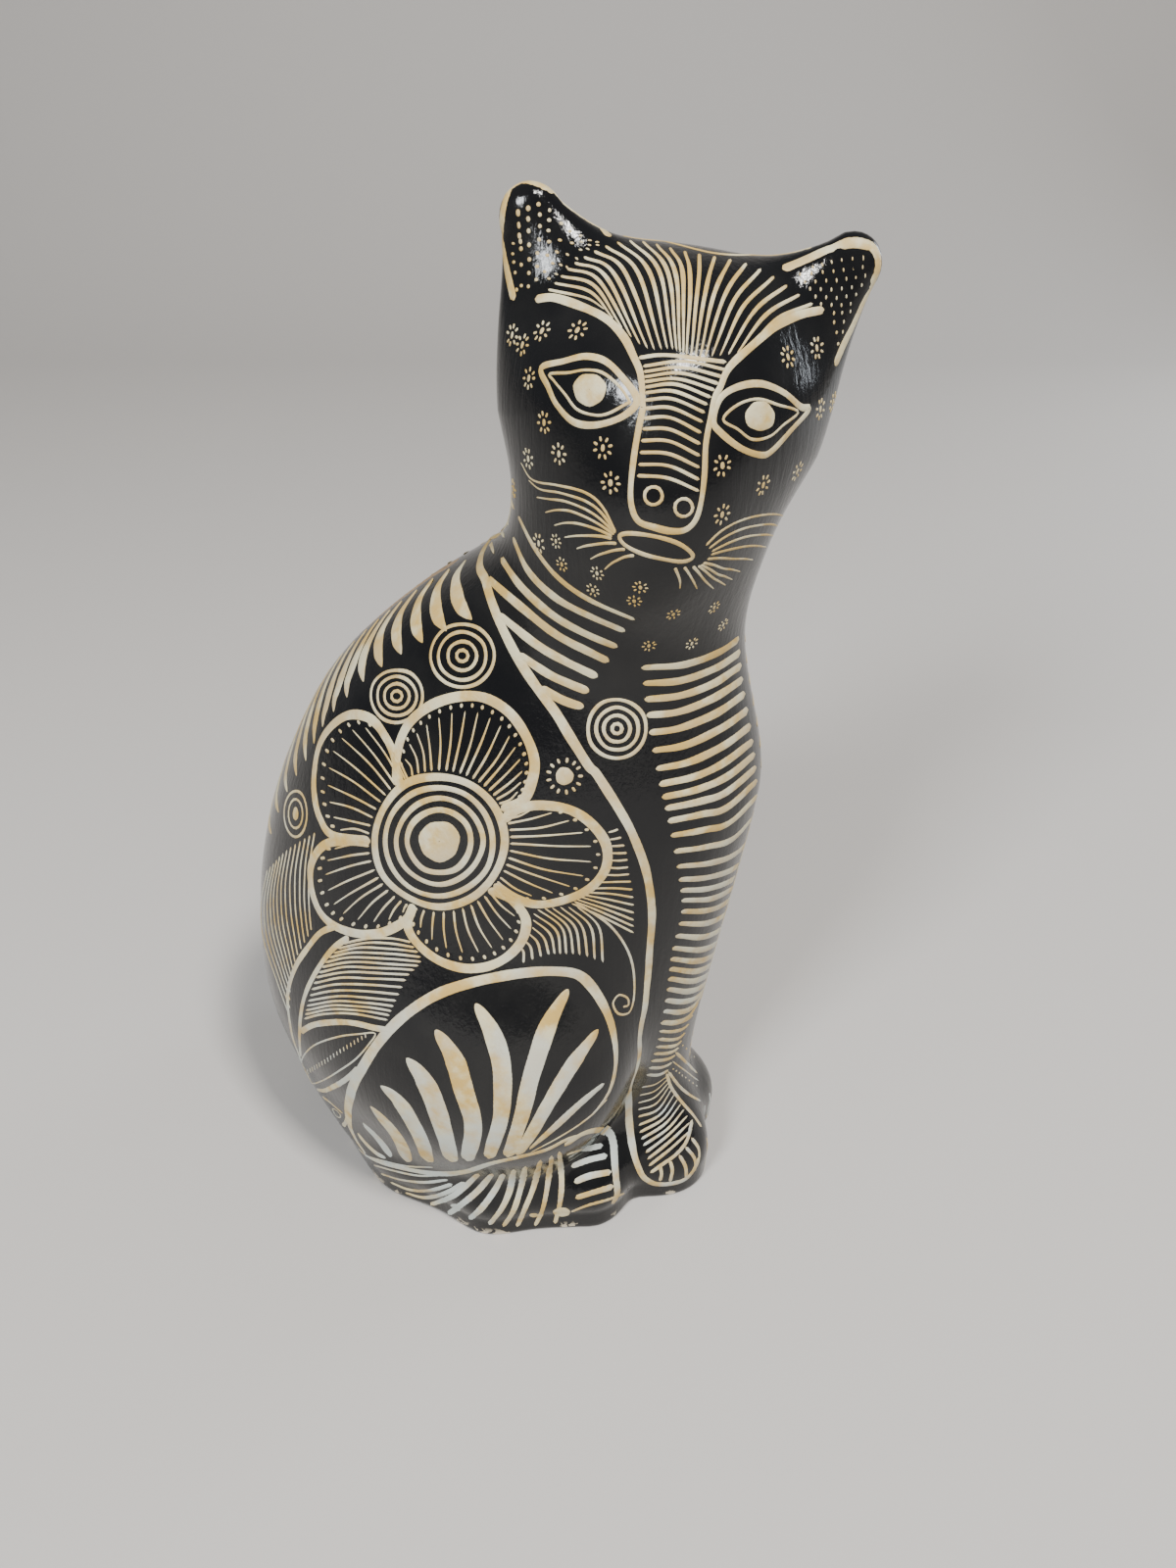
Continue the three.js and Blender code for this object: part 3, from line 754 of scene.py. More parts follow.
# Small seed flowers are pricked over the cheeks and chin and on round the neck, each a centre dot
# and eight short seeds made with the point of the finest tool.
SEED_FLOWERS = (
    (-11.3, 92.2), (-7.5, 84.2), (3.7, 85.7), (5.7, 76.8), (34.3, 81.2), (44.7, 76.2), (53.4, 79.7),
    (34.3, 68.7), (-15.3, 83.0), (-19.0, 75.4), (-12.6, 61.4), (59.3, 95.6), (62.5, 97.4), (-11.8, 115.6),
    (-2.7, 115.8), (-19.4, 114.5), (-16.8, 112.0), (-15.1, 103.5), (51.0, 108.9), (58.4, 111.2))
CHIN_FLOWERS = (
    (-8.2, 61.9), (-6.7, 56.0), (2.3, 53.7), (1.2, 49.4), (13.3, 50.1), (11.8, 46.6), (21.8, 43.2),
    (15.6, 35.2), (26.5, 35.8), (34.5, 40.6), (32.2, 45.0))
inlay("seed_flowers", blossoms(seen, SEED_FLOWERS), blossoms(seen, CHIN_FLOWERS, 0.75))

# Each ear has a broad rim line and, inside it, rows of dots pricked with the point: long ones on the
# right ear that shorten downwards, and round ones on the left.
EAR_ROWS_RIGHT = (
    ((-18.0, 147.2), (-17.5, 140.2), (-17.1, 136.0), (-17.0, 124.5)),
    ((-19.1, 139.2), (-19.2, 134.8), (-18.7, 131.0), (-18.1, 123.8)),
    ((-15.3, 148.2), (-15.2, 141.6), (-15.0, 133.2), (-15.3, 125.2)),
    ((-12.7, 149.2), (-12.2, 142.8), (-12.9, 134.8), (-13.2, 127.0)),
    ((-9.7, 147.6), (-10.0, 142.5), (-10.1, 136.7), (-11.4, 128.6)),
    ((-6.7, 145.2), (-7.2, 138.1), (-8.9, 133.4), (-10.4, 126.9)),
    ((-4.8, 142.5), (-4.2, 137.5), (-6.7, 132.8), (-8.6, 128.9)),
    ((-1.9, 140.6), (-1.7, 138.0), (-2.6, 134.4), (-6.7, 130.7)),
    ((0.4, 139.4), (0.4, 138.0), (0.2, 137.0), (-0.3, 135.9)),
    ((2.4, 138.6), (2.4, 138.1), (2.4, 137.6), (2.3, 137.0)))
EAR_ROWS_LEFT = (
    ((56.2, 131.5), (63.4, 133.4), (71.6, 134.3)), ((52.7, 129.9), (62.6, 130.8), (71.3, 131.9)),
    ((53.9, 128.1), (63.4, 128.5), (71.9, 129.7)), ((55.3, 126.3), (63.4, 126.2), (71.1, 127.4)),
    ((56.7, 124.5), (63.4, 124.0), (69.6, 125.0)), ((58.1, 122.5), (63.4, 122.1), (68.2, 122.6)),
    ((61.7, 120.1), (64.8, 120.2), (68.0, 120.6)), ((61.5, 117.6), (64.0, 117.8), (66.5, 118.1)),
    ((62.6, 115.0), (64.2, 115.2), (65.8, 115.5)), ((63.0, 112.2), (63.8, 112.3), (64.6, 112.5)))
EAR_COUNTS_RIGHT, EAR_COUNTS_LEFT = (7, 5, 7, 7, 6, 5, 5, 5, 3, 2), (6, 7, 7, 6, 5, 4, 3, 2, 2, 1)
EAR_DOTS_RIGHT = (
    (1.9, 0.9), (0.7, 1.0), (1.5, 1.0), (1.2, 0.9), (1.0, 0.8), (0.8, 0.6), (0.7, 0.5), (0.5, 0.5),
    (0.4, 0.4), (0.4, 0.4))
EAR_DOT_LEFT, EAR_DOT_WIDTH = (0.5, 0.35), 1.05
EAR_RIM_RIGHT = (
    (-19.0, 123.3), (-21.3, 134.3), (-22.1, 144.6), (-19.9, 151.9), (-15.5, 153.7), (-9.8, 151.8),
    (-4.0, 147.7), (1.9, 143.3), (5.6, 139.6))
EAR_RIM_LEFT = (
    (49.6, 131.3), (55.6, 133.9), (61.7, 136.6), (67.4, 138.2), (71.9, 137.4), (74.0, 134.8),
    (74.2, 131.5), (72.7, 127.6), (70.2, 122.5), (67.9, 117.4), (65.2, 111.8), (63.0, 106.7))
CREST = ((8.9, 140.2), (19.9, 138.4), (32.3, 135.4), (43.3, 135.1), (47.7, 136.5), (56.5, 139.5))
inlay("ear_lines",
    scratch(seen, EAR_RIM_RIGHT, 2.4),
    scratch(seen, EAR_RIM_LEFT, 2.5, (1, 1, 1, 1.1, 1.2)),
    [dashes(seen, (row,), count, size, EAR_DOT_WIDTH)
     for row, count, size in zip(EAR_ROWS_RIGHT, EAR_COUNTS_RIGHT, EAR_DOTS_RIGHT)],
    [dashes(seen, (row,), count, EAR_DOT_LEFT, EAR_DOT_WIDTH)
     for row, count in zip(EAR_ROWS_LEFT, EAR_COUNTS_LEFT)],
    scratch(seen, CREST, 1.1))

# The neck: a broad border that falls from the ear down the shoulder and the front leg to the paw,
# slanting strokes in front of it, four short ones behind.
BORDER = (
    (-28.8, 64.2), (-27.7, 55.8), (-26.2, 52.1), (-24.7, 47.0), (-22.5, 41.1), (-19.6, 35.3), (-16.7, 30.1),
    (-12.3, 23.5), (-7.9, 17.7), (-3.5, 10.3), (0.2, 4.5), (2.4, 2.3), (7.5, -5.8), (11.9, -13.9),
    (14.9, -22.7), (16.3, -32.2), (15.6, -44.7), (14.7, -55.7), (13.6, -61.5), (13.2, -65.3), (13.2, -68.4),
    (12.4, -73.0), (11.1, -76.8), (10.4, -81.8), (10.5, -86.4), (11.1, -91.3), (12.2, -95.9),
    (14.0, -100.1), (16.8, -101.9), (21.4, -101.9), (25.3, -100.5), (27.4, -97.8), (28.3, -95.2))
NECK = (
    ((-17.8, 68.3), (-13.7, 60.2), (-7.9, 52.9), (0.2, 47.0), (11.9, 41.9)),
    ((-19.2, 62.8), (-15.2, 54.3), (-8.6, 47.7), (0.9, 42.6), (9.4, 38.9)),
    ((-22.2, 57.6), (-16.7, 49.9), (-9.3, 43.3), (-0.5, 38.2), (7.5, 34.9)))
NECK_LOW = (
    ((-25.6, 52.6), (-16.7, 44.8), (-7.1, 37.5), (5.3, 31.2)),
    ((-22.9, 43.3), (-13.7, 36.0), (-5.7, 31.2), (2.4, 27.3)),
    ((-17.8, 33.1), (-10.1, 28.1), (-4.9, 25.6), (0.2, 23.5)),
    ((-12.1, 24.6), (-7.9, 22.1), (-4.6, 20.7), (-1.1, 19.7)))
NAPE = (
    ((-21.1, 76.0), (-18.9, 70.1)), ((-22.5, 73.4), (-20.3, 66.1)), ((-24.0, 69.7), (-21.4, 62.8)),
    ((-26.2, 66.1), (-24.0, 58.7)))
border = seen(np.array(BORDER))
border[0] = wrapped(np.array((91.0, 214.0)))
inlay("border_line", scratch(settle, border, 2.9, (1, 1.15, 1.1, 1, 0.95, 0.9, 1.0, 1.2, 0.95, 0.8)))
inlay("neck_lines",
    scratch(seen, NECK, np.array((1.8, 2.5, 2.7)), (0.7, 1, 1.05, 1, 0.8)),
    scratch(seen, NECK_LOW, 2.85, (0.8, 1, 1, 0.9)), scratch(seen, NAPE, 2.3, (0.9, 1, 0.35)))

# Rosettes of rings and a small sun stand on the shoulder and back, and a comb of leaf strokes, each
# pressed broad in its lower half, hangs from the spine on both sides of the coin slot.
COMB = np.array((
    ((-31.3, 59.1), (-33.7, 52.9), (-32.9, 46.3), (-29.6, 41.9)),
    ((-39.4, 53.0), (-43.1, 47.0), (-43.9, 40.8), (-42.2, 36.0)),
    ((-48.9, 45.5), (-52.6, 39.3), (-53.5, 34.2), (-52.6, 29.8)),
    ((-57.0, 36.9), (-59.9, 30.5), (-61.4, 26.1), (-61.5, 22.1)),
    ((-63.7, 28.5), (-66.4, 21.7), (-67.4, 17.7), (-67.7, 14.6)),
    ((-69.6, 20.5), (-71.7, 14.4), (-72.2, 10.0), (-72.0, 5.9)),
    ((-75.2, 10.9), (-76.8, 4.5), (-77.2, 1.2), (-76.7, -2.0)),
    ((-79.6, 1.5), (-80.9, -4.3), (-81.3, -8.7), (-80.8, -12.8))))
SPINE_EDGE, RISE, COMB_STROKES = -5.5, (2, 5, 8, 11, 13, 14, 15, 15), 15
COMB_WIDTHS = np.linspace(5.0, 3.8, COMB_STROKES)
COMB_SHAPE = (0.3, 0.6, 0.85, 1.1, 0.95, 0.25)
ROSETTES = (((-32.1, 32.7), (8.1, 6.1, 3.7, 1.5)), ((-48.8, 22.4), (6.7, 5.0, 3.2, 1.4)),
            ((7.4, 14.1), (7.5, 5.4, 3.4, 1.3)))
ROSETTE_WIDTH = 1.15
OVAL, SUN = (-74.6, -7.6), (-6.0, 2.0)
comb = seen(COMB)
comb[:, 0] = comb[:, 1]
comb[:, 0, 0] = SPINE_EDGE
comb[:, 0, 2] += RISE
comb = between(settle(comb), COMB_STROKES)
inlay("rosettes",
    *[rosette(seen, *item, ROSETTE_WIDTH) for item in ROSETTES],
    ring(seen, OVAL, (2.9, 5.9), 1.0), ring(seen, OVAL, (1.8, 3.7), 0.9), disc(seen, OVAL, (0.7, 1.8)),
    disc(seen, SUN, 2.4), spread(seen, SUN, 13, 4.1, 1.3, 0.85))
inlay("back_comb", scratch(settle, comb, COMB_WIDTHS, COMB_SHAPE))

# The great flower covers the flank: rings round a scraped disc, and five petals with a broad outline,
# filled with fine hairs and a row of dots along the edge.
FLOWER = (-37.9, -14.6)
PETALS = (
    ((-47.8, -0.7), (-48.9, 5.9), (-46.7, 14.0), (-41.6, 19.1), (-34.3, 22.1), (-26.9, 22.1), (-20.3, 18.4),
        (-15.9, 12.5), (-13.7, 5.9), (-14.5, 0.1), (-16.7, -4.3), (-22.2, -6.5)),
    ((-48.9, -0.3), (-49.3, 6.7), (-51.9, 12.5), (-55.5, 16.6), (-60.7, 17.7), (-65.1, 15.1), (-68.4, 10.3),
        (-69.8, 3.7), (-69.8, -2.9), (-68.4, -8.7), (-65.1, -13.1), (-55.5, -14.6)),
    ((-55.5, -14.6), (-63.6, -14.6), (-68.0, -16.1), (-70.6, -20.5), (-70.6, -26.3), (-68.7, -32.2),
        (-65.1, -35.9), (-59.2, -38.1), (-53.3, -38.1), (-48.2, -35.9), (-45.6, -33.7), (-44.5, -30.7)),
    ((-44.5, -30.7), (-46.0, -35.9), (-43.8, -40.3), (-38.7, -44.7), (-32.1, -46.9), (-25.5, -46.5),
        (-20.3, -43.9), (-16.7, -39.5), (-15.9, -34.4), (-18.9, -30.0), (-22.2, -28.2), (-25.5, -27.1)),
    ((-21.8, -9.5), (-18.1, -6.5), (-12.3, -5.4), (-4.9, -6.5), (0.9, -10.2), (4.6, -15.3), (4.6, -21.2),
        (0.9, -26.3), (-4.9, -29.3), (-12.3, -30.7), (-18.1, -29.3), (-24.0, -25.6)))
HAIRS, EDGE_DOTS = (21, 14, 14, 15, 14), (27, 19, 19, 21, 17)
HEART, FLOWER_RINGS = 5.5, ((8.1, 2.0), (11.0, 1.8), (13.8, 1.9), (16.7, 2.6))
HAIR_ROOT, LEAST_REACH = 18.0, 19.8
HAIR_MARGIN, DOT_MARGIN, HALF_DOT = 4.0, 2.5, 0.55


def petal_edge(outline, count, margin):
    """Places a margin inside a petal's outline, and the ways to them from the flower's centre."""
    edge = curve(outline, count + 2, even=True)[1:-1]
    away = edge - np.array(FLOWER)
    span = np.linalg.norm(away, axis=-1, keepdims=True)
    away /= span
    free = span[:, 0] - margin > LEAST_REACH
    return (edge - away * margin)[free], away[free]


def petal_filling(chart, outline, hairs, dots):
    """Hairs from the outer ring nearly to a petal's outline, and a row of dots just inside it."""
    tip, away = petal_edge(outline, hairs, HAIR_MARGIN)
    root = np.array(FLOWER) + away * HAIR_ROOT
    sideways = np.stack([away[:, 1], -away[:, 0]], -1)
    bend = (root + tip) / 2 + sideways * hand.uniform(0.1, 0.7, (len(tip), 1))
    dot, away = petal_edge(outline, dots, DOT_MARGIN)
    return [scratch(chart, np.stack([root, bend, tip], 1), 0.7, (1.2, 1, 0.6)),
            scratch(chart, np.stack([dot - away * HALF_DOT, dot + away * HALF_DOT], 1), 1.0)]


def great_flower(chart):
    """All the strokes of the great flower."""
    rings = [ring(chart, FLOWER, radius, width) for radius, width in FLOWER_RINGS]
    petals = [scratch(chart, outline, 3.3) for outline in PETALS]
    filling = [s for item in zip(PETALS, HAIRS, EDGE_DOTS) for s in petal_filling(chart, *item)]
    return [disc(chart, FLOWER, HEART)] + rings + petals + filling


inlay("great_flower", great_flower(seen))

# Round the flower the flank is filled with hatching, feather strokes, a tendril and, behind, an
# outlined leaf with a dotted midrib.
HATCH_BACK = (
    ((-81.8, -21.9), (-83.4, -30.7), (-82.8, -39.5), (-79.0, -51.3), (-76.1, -59.3)),
    ((-76.8, -16.8), (-78.3, -26.3), (-77.9, -35.1), (-76.4, -42.5), (-75.3, -47.2)),
    ((-69.8, -12.4), (-70.8, -19.0), (-71.3, -26.3), (-71.1, -32.2), (-70.6, -37.3)))
HATCH_BAND = (
    ((-62.6, -40.8), (-56.0, -39.4), (-50.2, -39.4), (-45.2, -40.4)),
    ((-66.8, -45.2), (-60.1, -43.9), (-51.0, -44.3), (-42.5, -45.0)),
    ((-69.7, -50.1), (-62.6, -48.7), (-54.3, -48.9), (-46.0, -49.3)),
    ((-71.5, -55.7), (-64.3, -54.5), (-56.0, -54.9), (-49.1, -55.7)),
    ((-72.4, -59.9), (-66.8, -58.6), (-59.3, -58.7), (-51.1, -60.2)))
HATCH_FRONT = (
    ((5.2, -12.4), (6.4, -12.1), (7.7, -11.6)), ((6.0, -17.3), (7.9, -17.3), (9.8, -17.2)),
    ((4.6, -22.5), (7.7, -22.6), (10.4, -22.3)), ((0.9, -27.2), (6.5, -27.2), (11.5, -27.7)),
    ((-2.3, -28.9), (4.6, -31.0), (11.7, -33.3)), ((-4.2, -30.5), (3.7, -33.9), (11.6, -38.0)))
FEATHERS = (
    ((-17.7, -41.4), (-16.5, -42.8), (-16.5, -45.6)), ((-14.4, -37.0), (-11.6, -39.6), (-10.4, -43.6)),
    ((-13.5, -32.4), (-7.4, -37.0), (-6.3, -43.4)), ((-8.6, -31.5), (-3.0, -36.3), (-1.6, -43.7)),
    ((-2.8, -31.2), (2.8, -36.6), (3.8, -45.5)))
TENDRIL = (
    (-3.5, -30.0), (5.3, -35.9), (10.5, -43.2), (11.9, -52.0), (10.8, -57.9), (7.9, -58.6), (6.4, -56.0),
    (7.9, -53.8), (10.1, -54.6), (10.3, -56.4), (9.0, -56.8))
inlay("flank_hatching",
    scratch(seen, between(HATCH_BACK, 13), 0.8), scratch(seen, between(HATCH_BAND, 16), 0.85),
    scratch(seen, between(HATCH_FRONT, 15), 0.85, (0.7, 1, 1)),
    scratch(seen, between(FEATHERS, 12), 0.8, (0.6, 1, 1)), scratch(seen, TENDRIL, 0.85))
LEAF_OUTER = (
    (-64.3, -36.2), (-68.4, -38.1), (-71.7, -42.0), (-74.6, -46.6), (-76.3, -51.6), (-76.6, -56.6),
    (-75.5, -64.0), (-73.8, -69.0), (-73.2, -71.1))
LEAF_INNER = (
    (-61.0, -39.1), (-65.1, -42.0), (-68.8, -47.0), (-71.7, -52.4), (-73.2, -58.2), (-73.6, -64.0),
    (-73.4, -69.4))
LEAF_BAND = ((-73.4, -63.2), (-70.1, -61.5), (-64.7, -60.7), (-59.3, -61.1), (-54.3, -62.2), (-50.6, -62.8))
LEAF = (
    (-73.2, -71.1), (-71.7, -68.2), (-68.8, -66.1), (-63.4, -64.4), (-58.5, -63.8), (-54.3, -63.6),
    (-56.0, -66.5), (-59.3, -70.2), (-63.4, -73.1), (-67.6, -75.6), (-70.9, -76.5), (-72.6, -74.8))
LEAF_RIB = ((-71.5, -73.4), (-67.6, -71.1), (-62.6, -67.8), (-56.8, -64.2))
RIB_DOT = np.array((-0.1, 0.55))
LEAF_FOOT = ((-69.3, -78.0), (-67.2, -78.2), (-64.3, -76.9), (-61.0, -74.8), (-58.5, -72.3))
BUD_TOP = ((-67.8, -79.7), (-65.6, -81.4), (-62.6, -84.0))
BUD_FOOT = ((-62.5, -87.2), (-61.9, -86.4), (-61.4, -85.2))
BUD = ((-65.2, -82.8), (-64.2, -83.2), (-63.2, -84.3), (-63.2, -85.1), (-63.9, -84.9), (-64.7, -84.0))
rib = curve(LEAF_RIB, 20, even=True)
inlay("flank_leaf",
    scratch(seen, LEAF_OUTER, 2.2, (1, 1, 1, 0.8)),
    scratch(seen, LEAF_INNER, 2.0, (1.1, 1, 1, 0.8)),
    scratch(seen, LEAF_BAND, 2.3),
    scratch(seen, LEAF, 0.65, closed=True),
    scratch(seen, np.stack([rib + RIB_DOT, rib - RIB_DOT], 1), 0.5),
    scratch(seen, LEAF_FOOT, 2.1, (0.8, 1, 1.1)),
    scratch(seen, BUD_TOP, 1.6),
    scratch(seen, BUD_FOOT, 1.8),
    scratch(seen, BUD, 0.5, closed=True))

# The thigh has a broad outline round a fan of leaf strokes; the foot under it has slanting strokes
# and a toe box, and its lower edge is rubbed pale.
THIGH = (
    (-56.8, -94.3), (-59.3, -90.6), (-61.0, -86.4), (-61.1, -81.5), (-59.7, -76.5), (-56.8, -71.1),
    (-51.9, -64.0), (-45.2, -57.8), (-38.6, -53.7), (-30.3, -50.8), (-23.7, -49.3), (-15.4, -48.1),
    (-8.8, -47.7), (-2.9, -48.5), (0.8, -51.6), (4.1, -56.6), (6.2, -62.4), (7.2, -69.0), (6.6, -74.8),
    (4.9, -79.4), (1.6, -83.9), (-2.1, -86.8))
THIGH_FAN = (
    ((-58.7, -89.0), (-57.4, -90.9), (-55.6, -92.8), (-53.7, -94.4), (-51.6, -95.4)),
    ((-57.4, -86.4), (-55.5, -88.5), (-53.5, -90.6), (-51.8, -92.8), (-50.4, -95.1)),
    ((-55.5, -82.2), (-52.5, -85.4), (-49.5, -89.0), (-47.4, -92.6), (-46.2, -96.3)),
    ((-52.9, -77.0), (-48.7, -80.5), (-45.6, -85.1), (-42.8, -90.4), (-40.8, -96.3)),
    ((-46.3, -69.9), (-42.1, -75.0), (-39.3, -81.2), (-36.9, -88.5), (-34.8, -96.3)),
    ((-38.9, -62.7), (-34.1, -70.2), (-31.7, -78.4), (-29.3, -87.0), (-30.8, -96.1)),
    ((-28.7, -56.0), (-24.2, -63.9), (-21.9, -73.5), (-22.3, -85.1), (-25.4, -95.5)),
    ((-5.1, -52.3), (-10.3, -62.0), (-14.4, -74.5), (-17.3, -86.1), (-20.5, -95.1)),
    ((2.6, -62.6), (-3.6, -71.1), (-9.2, -80.0), (-13.7, -88.0), (-18.0, -94.6)))
LOW_FAN = (
    ((4.1, -76.4), (-1.6, -81.2), (-8.5, -87.5), (-14.9, -93.2)),
    ((4.9, -80.4), (0.0, -85.3), (-6.5, -89.6), (-14.6, -94.0)))
FOOT_STROKES = (
    ((-56.9, -94.8), (-52.5, -96.1), (-46.0, -97.5), (-39.5, -97.8)),
    ((-54.7, -97.2), (-49.8, -98.6), (-43.3, -99.9), (-37.9, -99.9)),
    ((-52.8, -99.4), (-47.7, -101.0), (-41.7, -101.6), (-35.7, -101.0)),
    ((-50.4, -101.6), (-45.5, -103.5), (-40.6, -103.7), (-34.6, -102.1)),
    ((-46.6, -104.3), (-41.7, -105.5), (-36.8, -104.5), (-31.4, -101.6)),
    ((-40.2, -107.3), (-35.7, -105.7), (-31.9, -103.2), (-27.9, -99.4)),
    ((-35.7, -109.7), (-31.9, -107.0), (-28.1, -103.7), (-24.3, -99.4)),
    ((-30.3, -111.0), (-27.1, -108.1), (-23.8, -103.7), (-21.6, -99.4)),
    ((-25.2, -112.4), (-22.2, -108.6), (-20.0, -103.7), (-18.9, -98.3)),
    ((-21.6, -112.9), (-18.9, -108.6), (-17.3, -103.7), (-15.9, -97.5)),
    ((-18.1, -112.9), (-16.2, -108.6), (-14.0, -103.2), (-12.1, -95.9)),
    ((-13.5, -112.7), (-11.6, -108.6), (-10.3, -102.1), (-9.2, -94.8)),
    ((-8.4, -112.1), (-7.3, -107.5), (-6.7, -101.0), (-7.3, -93.7)))
TOE_BARS = (
    ((-5.4, -94.5), (-1.0, -93.2), (3.8, -92.2)), ((-4.3, -97.5), (0.0, -95.9), (4.9, -94.8)),
    ((-3.5, -101.6), (0.6, -99.9), (6.0, -98.9)), ((-3.2, -105.6), (1.1, -104.3), (6.6, -102.6)))
FAN_WIDTHS = np.array((3.6, 6.4, 8.4, 8.4, 8.8, 7.9, 6.9, 6.7, 6.0))
FOOT_WIDTHS = np.array((1.0, 1.2, 1.6, 1.9, 2.1, 2.4, 2.6, 2.6, 2.5, 2.4, 2.3, 2.0, 2.1))
FOOT_LINE = (
    (-58.7, -93.2), (-54.2, -96.1), (-46.0, -98.3), (-37.9, -99.4), (-31.4, -98.9), (-24.3, -96.7),
    (-17.3, -95.1), (-10.8, -93.4), (-5.4, -90.7), (-1.6, -89.6))
TOE_BOX = (
    (-5.9, -92.3), (-1.6, -89.4), (2.2, -88.3), (5.2, -88.8), (6.4, -91.3), (6.8, -95.6), (7.1, -99.9),
    (7.5, -104.3), (6.6, -107.0))
SOLE_LINE = ((-4.3, -109.2), (0.0, -107.5), (5.5, -105.9), (9.3, -104.5))
RUBBED_SPOTS = (((-6.7, -109.2), (2.3, 1.2)), ((-13.8, -110.0), (1.2, 0.5)), ((-34.1, -107.5), (1.1, 0.4)))
inlay("thigh_fan",
    scratch(seen, THIGH, 3.7, (0.7, 1, 1.15, 1.05, 1, 1, 1, 0.95, 0.6, 0.25)),
    scratch(seen, THIGH_FAN, FAN_WIDTHS, (0.45, 1, 0.95, 0.85, 0.76, 0.64)),
    scratch(seen, LOW_FAN, (3.3, 0.9), (0.55, 0.95, 1.05, 0.95, 0.7, 0.35)))
inlay("foot_lines",
    scratch(seen, FOOT_STROKES, FOOT_WIDTHS, (0.8, 1, 1, 0.8)),
    scratch(seen, FOOT_LINE, 3.0, (0.4, 0.5, 0.9, 1.2, 1, 0.8, 0.8)),
    scratch(seen, TOE_BOX, 3.3),
    scratch(seen, TOE_BARS, 2.4),
    scratch(seen, SOLE_LINE, 1.5),
    [disc(seen, *spot) for spot in RUBBED_SPOTS])

# The chest and front leg have cross strokes that narrow to the ankle and sweep over the paw; the toes
# are divided by short strokes.
CHEST = (
    ((13.6, 29.6), (24.1, 30.4), (33.1, 33.4), (38.5, 37.0)),
    ((15.1, 15.9), (23.1, 16.9), (32.1, 20.4), (39.7, 25.4)),
    ((17.9, 0.8), (27.1, 2.8), (35.2, 6.8), (42.0, 11.9)),
    ((20.4, -9.9), (29.1, -8.2), (35.2, -6.7), (43.2, 0.3)),
    ((22.9, -22.8), (31.1, -22.1), (38.2, -19.3), (43.2, -12.8)),
    ((23.8, -32.1), (31.1, -31.8), (36.7, -28.8), (41.2, -23.3)),
    ((21.4, -42.5), (28.1, -43.1), (32.6, -41.4), (37.2, -36.9)),
    ((20.3, -51.3), (25.6, -51.9), (29.1, -50.9), (32.3, -47.9)),
    ((18.8, -60.8), (22.6, -60.8), (25.6, -59.5), (28.1, -55.9)))
SHIN = (
    ((18.5, -60.9), (21.4, -61.1), (24.5, -60.5), (26.8, -59.0)),
    ((17.7, -65.7), (20.7, -65.9), (23.0, -65.5), (24.5, -64.2)),
    ((16.3, -70.0), (19.1, -69.9), (21.0, -69.5), (22.6, -68.6)),
    ((14.9, -74.2), (17.6, -74.3), (19.3, -73.7), (20.5, -73.0)))
ANKLE = (
    ((13.7, -77.4), (17.0, -76.7), (20.0, -74.7)), ((12.8, -81.1), (17.0, -79.7), (20.5, -76.0)),
    ((12.8, -84.3), (17.6, -82.6), (21.2, -77.4)), ((13.0, -88.0), (18.8, -84.9), (22.5, -79.7)),
    ((13.7, -91.1), (19.9, -87.1), (24.0, -82.0)), ((14.8, -94.3), (21.0, -89.4), (25.5, -84.9)),
    ((15.5, -97.4), (21.6, -92.6), (26.6, -88.0)))
TOES = (
    ((18.4, -97.5), (18.8, -99.4), (18.4, -101.3)), ((20.9, -96.1), (21.5, -98.6), (21.0, -101.5)),
    ((23.3, -94.6), (24.9, -97.5), (25.1, -100.7)), ((24.9, -92.5), (27.2, -95.5), (27.4, -98.6)),
    ((26.4, -90.2), (28.2, -92.9), (28.5, -95.5)))
PAW_LINES = (
    (((15.9, -99.2), (19.1, -96.9), (22.6, -94.4), (25.3, -90.9), (26.6, -85.6)), 1.6),
    (((20.0, -73.9), (21.3, -77.4), (23.9, -81.1), (26.8, -84.3), (29.0, -87.4)), 1.4),
    (((20.5, -73.3), (23.3, -77.1), (26.2, -79.4), (28.8, -80.9)), 1.2),
    (((21.5, -70.7), (24.5, -72.9), (28.2, -75.7)), 0.6),
    (((22.3, -68.4), (25.0, -70.9), (27.9, -73.7)), 1.2))
PAW_DOTS = ((((21.4, -72.4), (24.5, -74.6), (28.2, -77.3)), 8),
            (((23.7, -66.3), (25.6, -68.0), (27.6, -70.1)), 4))
ANKLE_WIDTHS = np.linspace(0.7, 1.2, 12)
inlay("chest_lines",
    scratch(seen, between(CHEST, 28), 2.6, (0.75, 1, 1.1, 1)),
    scratch(seen, between(SHIN, 8), 1.7, (0.8, 1, 1)))
inlay("paw_lines",
    scratch(seen, between(ANKLE, len(ANKLE_WIDTHS)), ANKLE_WIDTHS, (1.1, 1.1, 0.9, 0.5)),
    scratch(seen, TOES, 1.4),
    [scratch(seen, *line) for line in PAW_LINES],
    [dashes(seen, (row,), count, (0.3, 0.3), 0.7) for row, count in PAW_DOTS])

